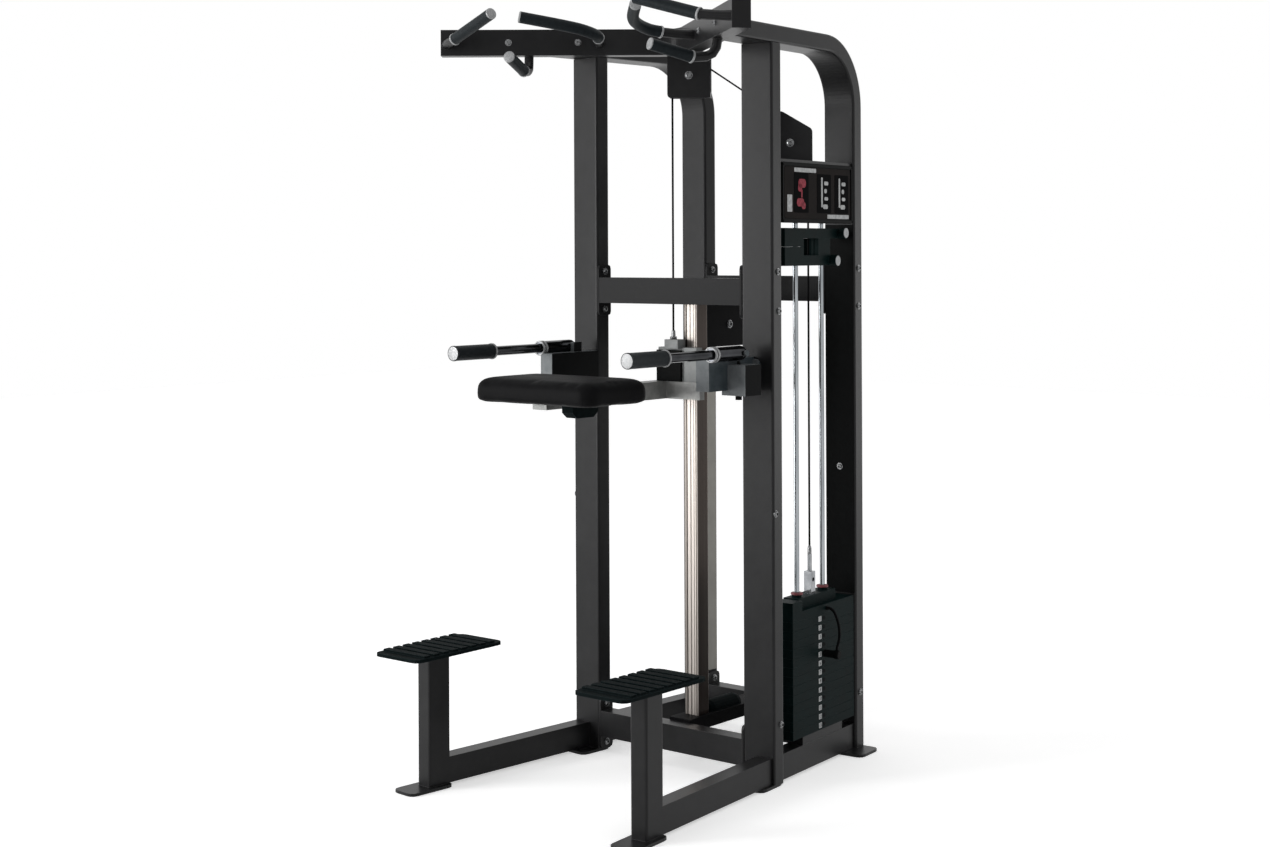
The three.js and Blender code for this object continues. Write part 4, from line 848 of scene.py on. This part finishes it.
def make_numbers():
    """White number tiles and pin holes on the plates' outer faces; the pin holes are flat dark discs of painted
    shade.
    """
    outward = side_axis(1, 1, 0)
    for row in range(1, PLATE_COUNT + 1):
        body = "stack" if row <= LIFTED else "frame"
        height = STACK_BOTTOM + PLATE * (PLATE_COUNT - row + 0.5)
        work = bmesh.new()
        place = facing(side_point(1, STACK_FACE, NUMBER_ALONG, height), outward)
        slab(work, place, (-0.0085, -0.0075, -0.0002), (0.0085, 0.0075, 0.0006), 0.0015, 3, 0.0002)
        add_piece(f"number_tile_{row}", work, print_white, body)
        text = bpy.data.curves.new(f"number_{row}", "FONT")
        text.body = str(row)
        text.size = NUMBER_SIZE
        text.align_x = "CENTER"
        text.align_y = "CENTER"
        text.extrude = 0.0001
        text.materials.append(print_and_hole_shade)
        item = bpy.data.objects.new(f"number_{row}", text)
        item.matrix_world = facing(side_point(1, TILE_FACE, NUMBER_ALONG, height), outward)
        bpy.context.scene.collection.objects.link(item)
        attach(item, body)
        if row != LIFTED:
            # A flat dark disc: painted shade standing for the pin hole
            work = bmesh.new()
            hole = [(0, 0.0002), (0.0042, 0.0002), (0.0046, 0.0007), (0.0054, 0.0007), (0.0056, -0.0002),
                    (0, -0.0002)]
            turned(work, hole, facing(side_point(1, STACK_FACE, PIN_ALONG, height), outward), 24)
            add_piece(f"pin_hole_{row}", work, print_and_hole_shade, body)


# Knobs of the add-on weights: rearwards, out, and in from the edge of their weight
KNOBS = {"upper": 0.419, "lower": 0.369}
KNOB_OUT = 0.002
KNOB_LEVEL = 0.0145
KNOB_PROFILE = [
    (0, -0.0002), (0.0142, -0.0002), (0.0146, 0.0004), (0.014, 0.0012), (0.0052, 0.0014), (0.0048, 0.0008),
    (0, 0.0008),
]


def make_knob_faces():
    """Light discs on the ends of the add-on weights' knobs."""
    outward = side_axis(1, 1, 0)
    heights = {
        "upper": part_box("add_on_weight_upper")[1].z - KNOB_LEVEL,
        "lower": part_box("add_on_weight_lower")[0].z + KNOB_LEVEL,
    }
    for label, along in KNOBS.items():
        work = bmesh.new()
        turned(work, KNOB_PROFILE, facing(side_point(1, KNOB_OUT, along, heights[label]), outward), 36)
        add_piece(f"add_on_knob_face_{label}", work, knob_grey, "add_on_weights")


HEAD_TOP = 0.4969
BUSHING_PROFILE = [
    (0.0085, 0), (0.0165, 0), (0.0175, 0.001), (0.0175, 0.005), (0.0155, 0.0065), (0.0085, 0.0065), (0.0085, 0),
]
STACK_SLEEVE = [(0.0026, 0), (0.0058, 0.0), (0.006, 0.002), (0.006, 0.016), (0.0045, 0.022), (0.0026, 0.024)]
CARRIAGE_SLEEVE = [
    (0.0026, 0), (0.0095, 0), (0.01, 0.001), (0.01, 0.007), (0.0085, 0.008), (0.0062, 0.008), (0.0058, 0.022),
    (0.0045, 0.026), (0.0026, 0.027),
]


def make_stack_fittings():
    """Bushings round the rods on the stack's head, and the ferrules on the cable."""
    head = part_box("stack_top_plate")[1].z
    for label, along in ROD_ALONG.items():
        work = bmesh.new()
        turned(work, BUSHING_PROFILE, facing(side_point(1, ROD_OUT, along, HEAD_TOP), (0, 0, 1)), 36)
        add_piece(f"rod_bushing_{label}", work, bush_red, "stack")
    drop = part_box("cable_to_stack")
    middle = (drop[0] + drop[1]) / 2
    work = bmesh.new()
    turned(work, STACK_SLEEVE, facing((middle.x, middle.y, head + SEAT), (0, 0, 1)), 24)
    add_piece("stack_cable_ferrule", work, bolt_steel, "stack")
    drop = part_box("cable_to_carriage")
    middle = (drop[0] + drop[1]) / 2
    work = bmesh.new()
    turned(work, CARRIAGE_SLEEVE, facing((middle.x, middle.y, drop[0].z), (0, 0, 1)), 24)
    add_piece("carriage_cable_ferrule", work, bolt_steel, "carriage")


# Placard, rear panel and pale strip


PLACARD_OUT = -0.003
PLACARD_HEIGHT = 1.642
PLACARD_HALF = (0.2035, 0.083)
PLACARD_BORDER = 0.008
SHEET_HALF = (0.1915, 0.073)
PICTURE_HALF = (0.041, 0.056)
# Plain shapes: across, up, half as wide, half as tall
LYING_BARS = [
    (0.004, 0.027, 0.021, 0.0125), (-0.008, 0.014, 0.011, 0.011), (-0.006, -0.027, 0.02, 0.0115),
    (0.012, -0.036, 0.011, 0.01), (0.002, -0.002, 0.0035, 0.012),
]
STANDING_BARS = [
    (-0.013, 0.004, 0.0045, 0.043), (0.012, 0.03, 0.012, 0.0055), (0.008, 0.008, 0.0075, 0.0065),
    (0.012, -0.014, 0.0105, 0.005), (0.007, -0.037, 0.014, 0.0065),
]
BLANK_STRIPS = [
    (-0.075, 0.0645, 0.062, 0.006), (0.117, -0.0655, 0.064, 0.006), (-0.163, -0.03, 0.0135, 0.024),
]
# Place across, finish of the print, its shapes
PICTURES = [
    (-0.098, picture_red, LYING_BARS), (0.033, print_white, STANDING_BARS), (0.137, print_white, STANDING_BARS),
]


def make_placard():
    """Generic placard: a raised border, three inset pictures of plain bars, and blank strips."""
    outward = side_axis(1, 1, 0)
    middle = (UPRIGHT_DEPTH + FRAME_DEPTH) / 2
    place = facing(side_point(1, PLACARD_OUT, middle, PLACARD_HEIGHT), outward)
    wide, tall = SHEET_HALF
    work = bmesh.new()
    slab(work, place, (-wide, -tall, 0.0), (wide, tall, 0.0012), 0.01, 6, 0.0004)
    add_piece("placard_face_sheet", work, placard_face, "frame")
    wide, tall = PLACARD_HALF
    border = PLACARD_BORDER
    work = bmesh.new()
    for low, high in (((-wide, -tall), (wide, border - tall)), ((-wide, tall - border), (wide, tall)),
                      ((-wide, -tall), (border - wide, tall)), ((wide - border, -tall), (wide, tall))):
        slab(work, place, (low[0], low[1], -0.001), (high[0], high[1], 0.003), 0.003, 4, 0.0006)
    add_piece("placard_border", work, plastic, "frame")
    half_wide, half_tall = PICTURE_HALF
    for index, (across, print_finish, bars) in enumerate(PICTURES, 1):
        work = bmesh.new()
        slab(work, place, (across - half_wide, -half_tall, 0.001), (across + half_wide, half_tall, 0.0018),
             0.004, 4, 0.0003)
        add_piece(f"placard_picture_{index}", work, picture_dark, "frame")
        work = bmesh.new()
        for x, y, wide, tall in bars:
            slab(work, place, (across + x - wide, y - tall, 0.0016), (across + x + wide, y + tall, 0.0022),
                 min(wide, tall) * 0.85, 6, 0.0002)
        add_piece(f"placard_print_{index}", work, print_finish, "frame")
    work = bmesh.new()
    for x, y, wide, tall in BLANK_STRIPS:
        slab(work, place, (x - wide, y - tall, 0.001), (x + wide, y + tall, 0.0016), 0.002, 3, 0.0002)
    add_piece("placard_blank_strips", work, print_white, "frame")


# Half width, half height, thickness and middle height
PANEL = (0.047, 0.5445, 0.002, 1.0105)
STRIP = (0.019, 0.56, 0.001, 0.724)
PANEL_BOLT_HEIGHT = 0.839


def make_panels():
    """Cover panel on the front of the right rear upright, and the pale strip inside the left one."""
    forward = side_axis(1, 0, -1)
    wide, tall, thick, height = PANEL
    place = facing(side_point(1, -UPRIGHT_WIDTH / 2, FRAME_DEPTH, height), forward)
    work = bmesh.new()
    slab(work, place, (-wide, -tall, 0.0), (wide, tall, thick), 0.002, 3, 0.0005)
    add_piece("rear_cover_panel", work, plastic, "frame")
    spot = side_point(1, -UPRIGHT_WIDTH / 2, FRAME_DEPTH - thick, PANEL_BOLT_HEIGHT)
    add_bolts("rear_panel_bolts", [(spot, forward)], radius=0.0075)
    inward = -side_axis(-1, 1, 0)
    wide, tall, thick, height = STRIP
    place = facing(side_point(-1, -UPRIGHT_WIDTH, FRAME_DEPTH + UPRIGHT_DEPTH / 2, height), inward)
    work = bmesh.new()
    slab(work, place, (-wide, -tall, 0.0), (wide, tall, thick), 0.003, 3, 0.0004)
    add_piece("inner_pale_strip", work, pale_strip, "frame")


# Studio


# Camera, fitted to the photograph: its place, the way it looks, its roll, and the row of the horizon
CAMERA_PLACE = (3.4224, -4.2714 + ORIGIN_Y, 1.4822)
CAMERA_LOOK = (-0.6391, 0.7692, 0)
CAMERA_ROLL = math.radians(-0.25)
CAMERA_LENS = 54.0
CAMERA_REACH = 60
PHOTO_WIDTH = 1270
PHOTO_MIDDLE_ROW = 423.5
HORIZON_ROW = 250.2
WORLD_LIGHT = 0.5
FLOOR_LIFT = 0.5
FLOOR_REACH = 14
FLOOR_DROP = 0.0005
LAMP_TARGET = (0, 0, 1.1)
# Place, width and height, power
LAMPS = {
    "front_softbox": ((-4.1, -5.5, 1.9), (2.4, 3.8), 350),
    "rear_softbox": ((2.9, 6.0, 1.05), (1.6, 2.1), 24),
    "top_softbox": ((0.5, -1.0, 6.5), (3.0, 3.0), 25),
}


def make_camera():
    """The camera at the photograph's viewing angle."""
    data = bpy.data.cameras.new("camera")
    data.sensor_width = 36
    data.lens = CAMERA_LENS
    data.shift_y = -(PHOTO_MIDDLE_ROW - HORIZON_ROW) / PHOTO_WIDTH
    data.clip_end = CAMERA_REACH
    camera = bpy.data.objects.new("camera", data)
    bpy.context.scene.collection.objects.link(camera)
    turn = Vector(CAMERA_LOOK).to_track_quat("-Z", "Y") @ Quaternion((0, 0, 1), CAMERA_ROLL)
    camera.matrix_world = Matrix.Translation(Vector(CAMERA_PLACE)) @ turn.to_matrix().to_4x4()
    bpy.context.scene.camera = camera


def lamp(name, place, target, size, power):
    """A soft rectangular lamp that the camera doesn't see."""
    data = bpy.data.lights.new(name, "AREA")
    data.shape = "RECTANGLE"
    data.size, data.size_y = size
    data.energy = power
    item = bpy.data.objects.new(name, data)
    bpy.context.scene.collection.objects.link(item)
    aim = Vector(target) - Vector(place)
    turn = aim.to_track_quat("-Z", "Y").to_matrix().to_4x4()
    item.matrix_world = Matrix.Translation(Vector(place)) @ turn
    item.visible_camera = False


def seen_directly(tree):
    """One for camera, mirror and glass rays, nought for all other light."""
    path = node(tree, "ShaderNodeLightPath")
    first = node(tree, "ShaderNodeMath", operation="MAXIMUM")
    second = node(tree, "ShaderNodeMath", operation="MAXIMUM")
    tree.links.new(path.outputs["Is Camera Ray"], first.inputs[0])
    tree.links.new(path.outputs["Is Transmission Ray"], first.inputs[1])
    tree.links.new(first.outputs[0], second.inputs[0])
    tree.links.new(path.outputs["Is Glossy Ray"], second.inputs[1])
    return second.outputs[0]


def make_world():
    """Soft light all round, with a plain white to look at."""
    world = bpy.data.worlds.new("studio")
    bpy.context.scene.world = world
    world.use_nodes = True
    tree = world.node_tree
    light = tree.nodes["Background"]
    light.inputs["Color"].default_value = (1, 1, 1, 1)
    light.inputs["Strength"].default_value = WORLD_LIGHT
    white = node(tree, "ShaderNodeBackground", Color=(1, 1, 1, 1), Strength=1.0)
    mix = node(tree, "ShaderNodeMixShader")
    tree.links.new(seen_directly(tree), mix.inputs[0])
    tree.links.new(light.outputs[0], mix.inputs[1])
    tree.links.new(white.outputs[0], mix.inputs[2])
    tree.links.new(mix.outputs[0], tree.nodes["World Output"].inputs["Surface"])


def make_floor():
    """Pale floor that keeps the machine's shadow and otherwise looks white."""
    mesh = bpy.data.meshes.new("floor")
    reach = FLOOR_REACH
    corners = [(-reach, -reach, 0), (reach, -reach, 0), (reach, reach, 0), (-reach, reach, 0)]
    mesh.from_pydata(corners, [], [(0, 1, 2, 3)])
    floor = bpy.data.objects.new("floor", mesh)
    floor.location.z = -FLOOR_DROP
    bpy.context.scene.collection.objects.link(floor)
    material = surface("floor_white", srgb(240, 240, 240), srgb(246, 246, 246), 3, (0.7, 0.8), 0.0,
                       (40, 0.05, 0.001))
    mesh.materials.append(material)
    tree = material.node_tree
    output = first_of(tree.nodes, "OUTPUT_MATERIAL")
    glow = node(tree, "ShaderNodeEmission", Color=(1, 1, 1, 1))
    lift = node(tree, "ShaderNodeMath", operation="MULTIPLY")
    lift.inputs[1].default_value = FLOOR_LIFT
    tree.links.new(seen_directly(tree), lift.inputs[0])
    tree.links.new(lift.outputs[0], glow.inputs["Strength"])
    both = node(tree, "ShaderNodeAddShader")
    tree.links.new(tree.nodes["Principled BSDF"].outputs[0], both.inputs[0])
    tree.links.new(glow.outputs[0], both.inputs[1])
    tree.links.new(both.outputs[0], output.inputs["Surface"])


def make_studio():
    """Plain white surroundings, the floor and the lamps."""
    bpy.context.scene.view_settings.view_transform = "Standard"
    make_world()
    make_floor()
    for name, (place, size, power) in LAMPS.items():
        lamp(name, place, LAMP_TARGET, size, power)


make_camera()
dress_nodes()
make_bolts()
make_chin_grips()
make_dip_grips()
make_knee_pad()
make_cables()
make_lanyard()
make_numbers()
make_knob_faces()
make_stack_fittings()
make_placard()
make_panels()
make_studio()
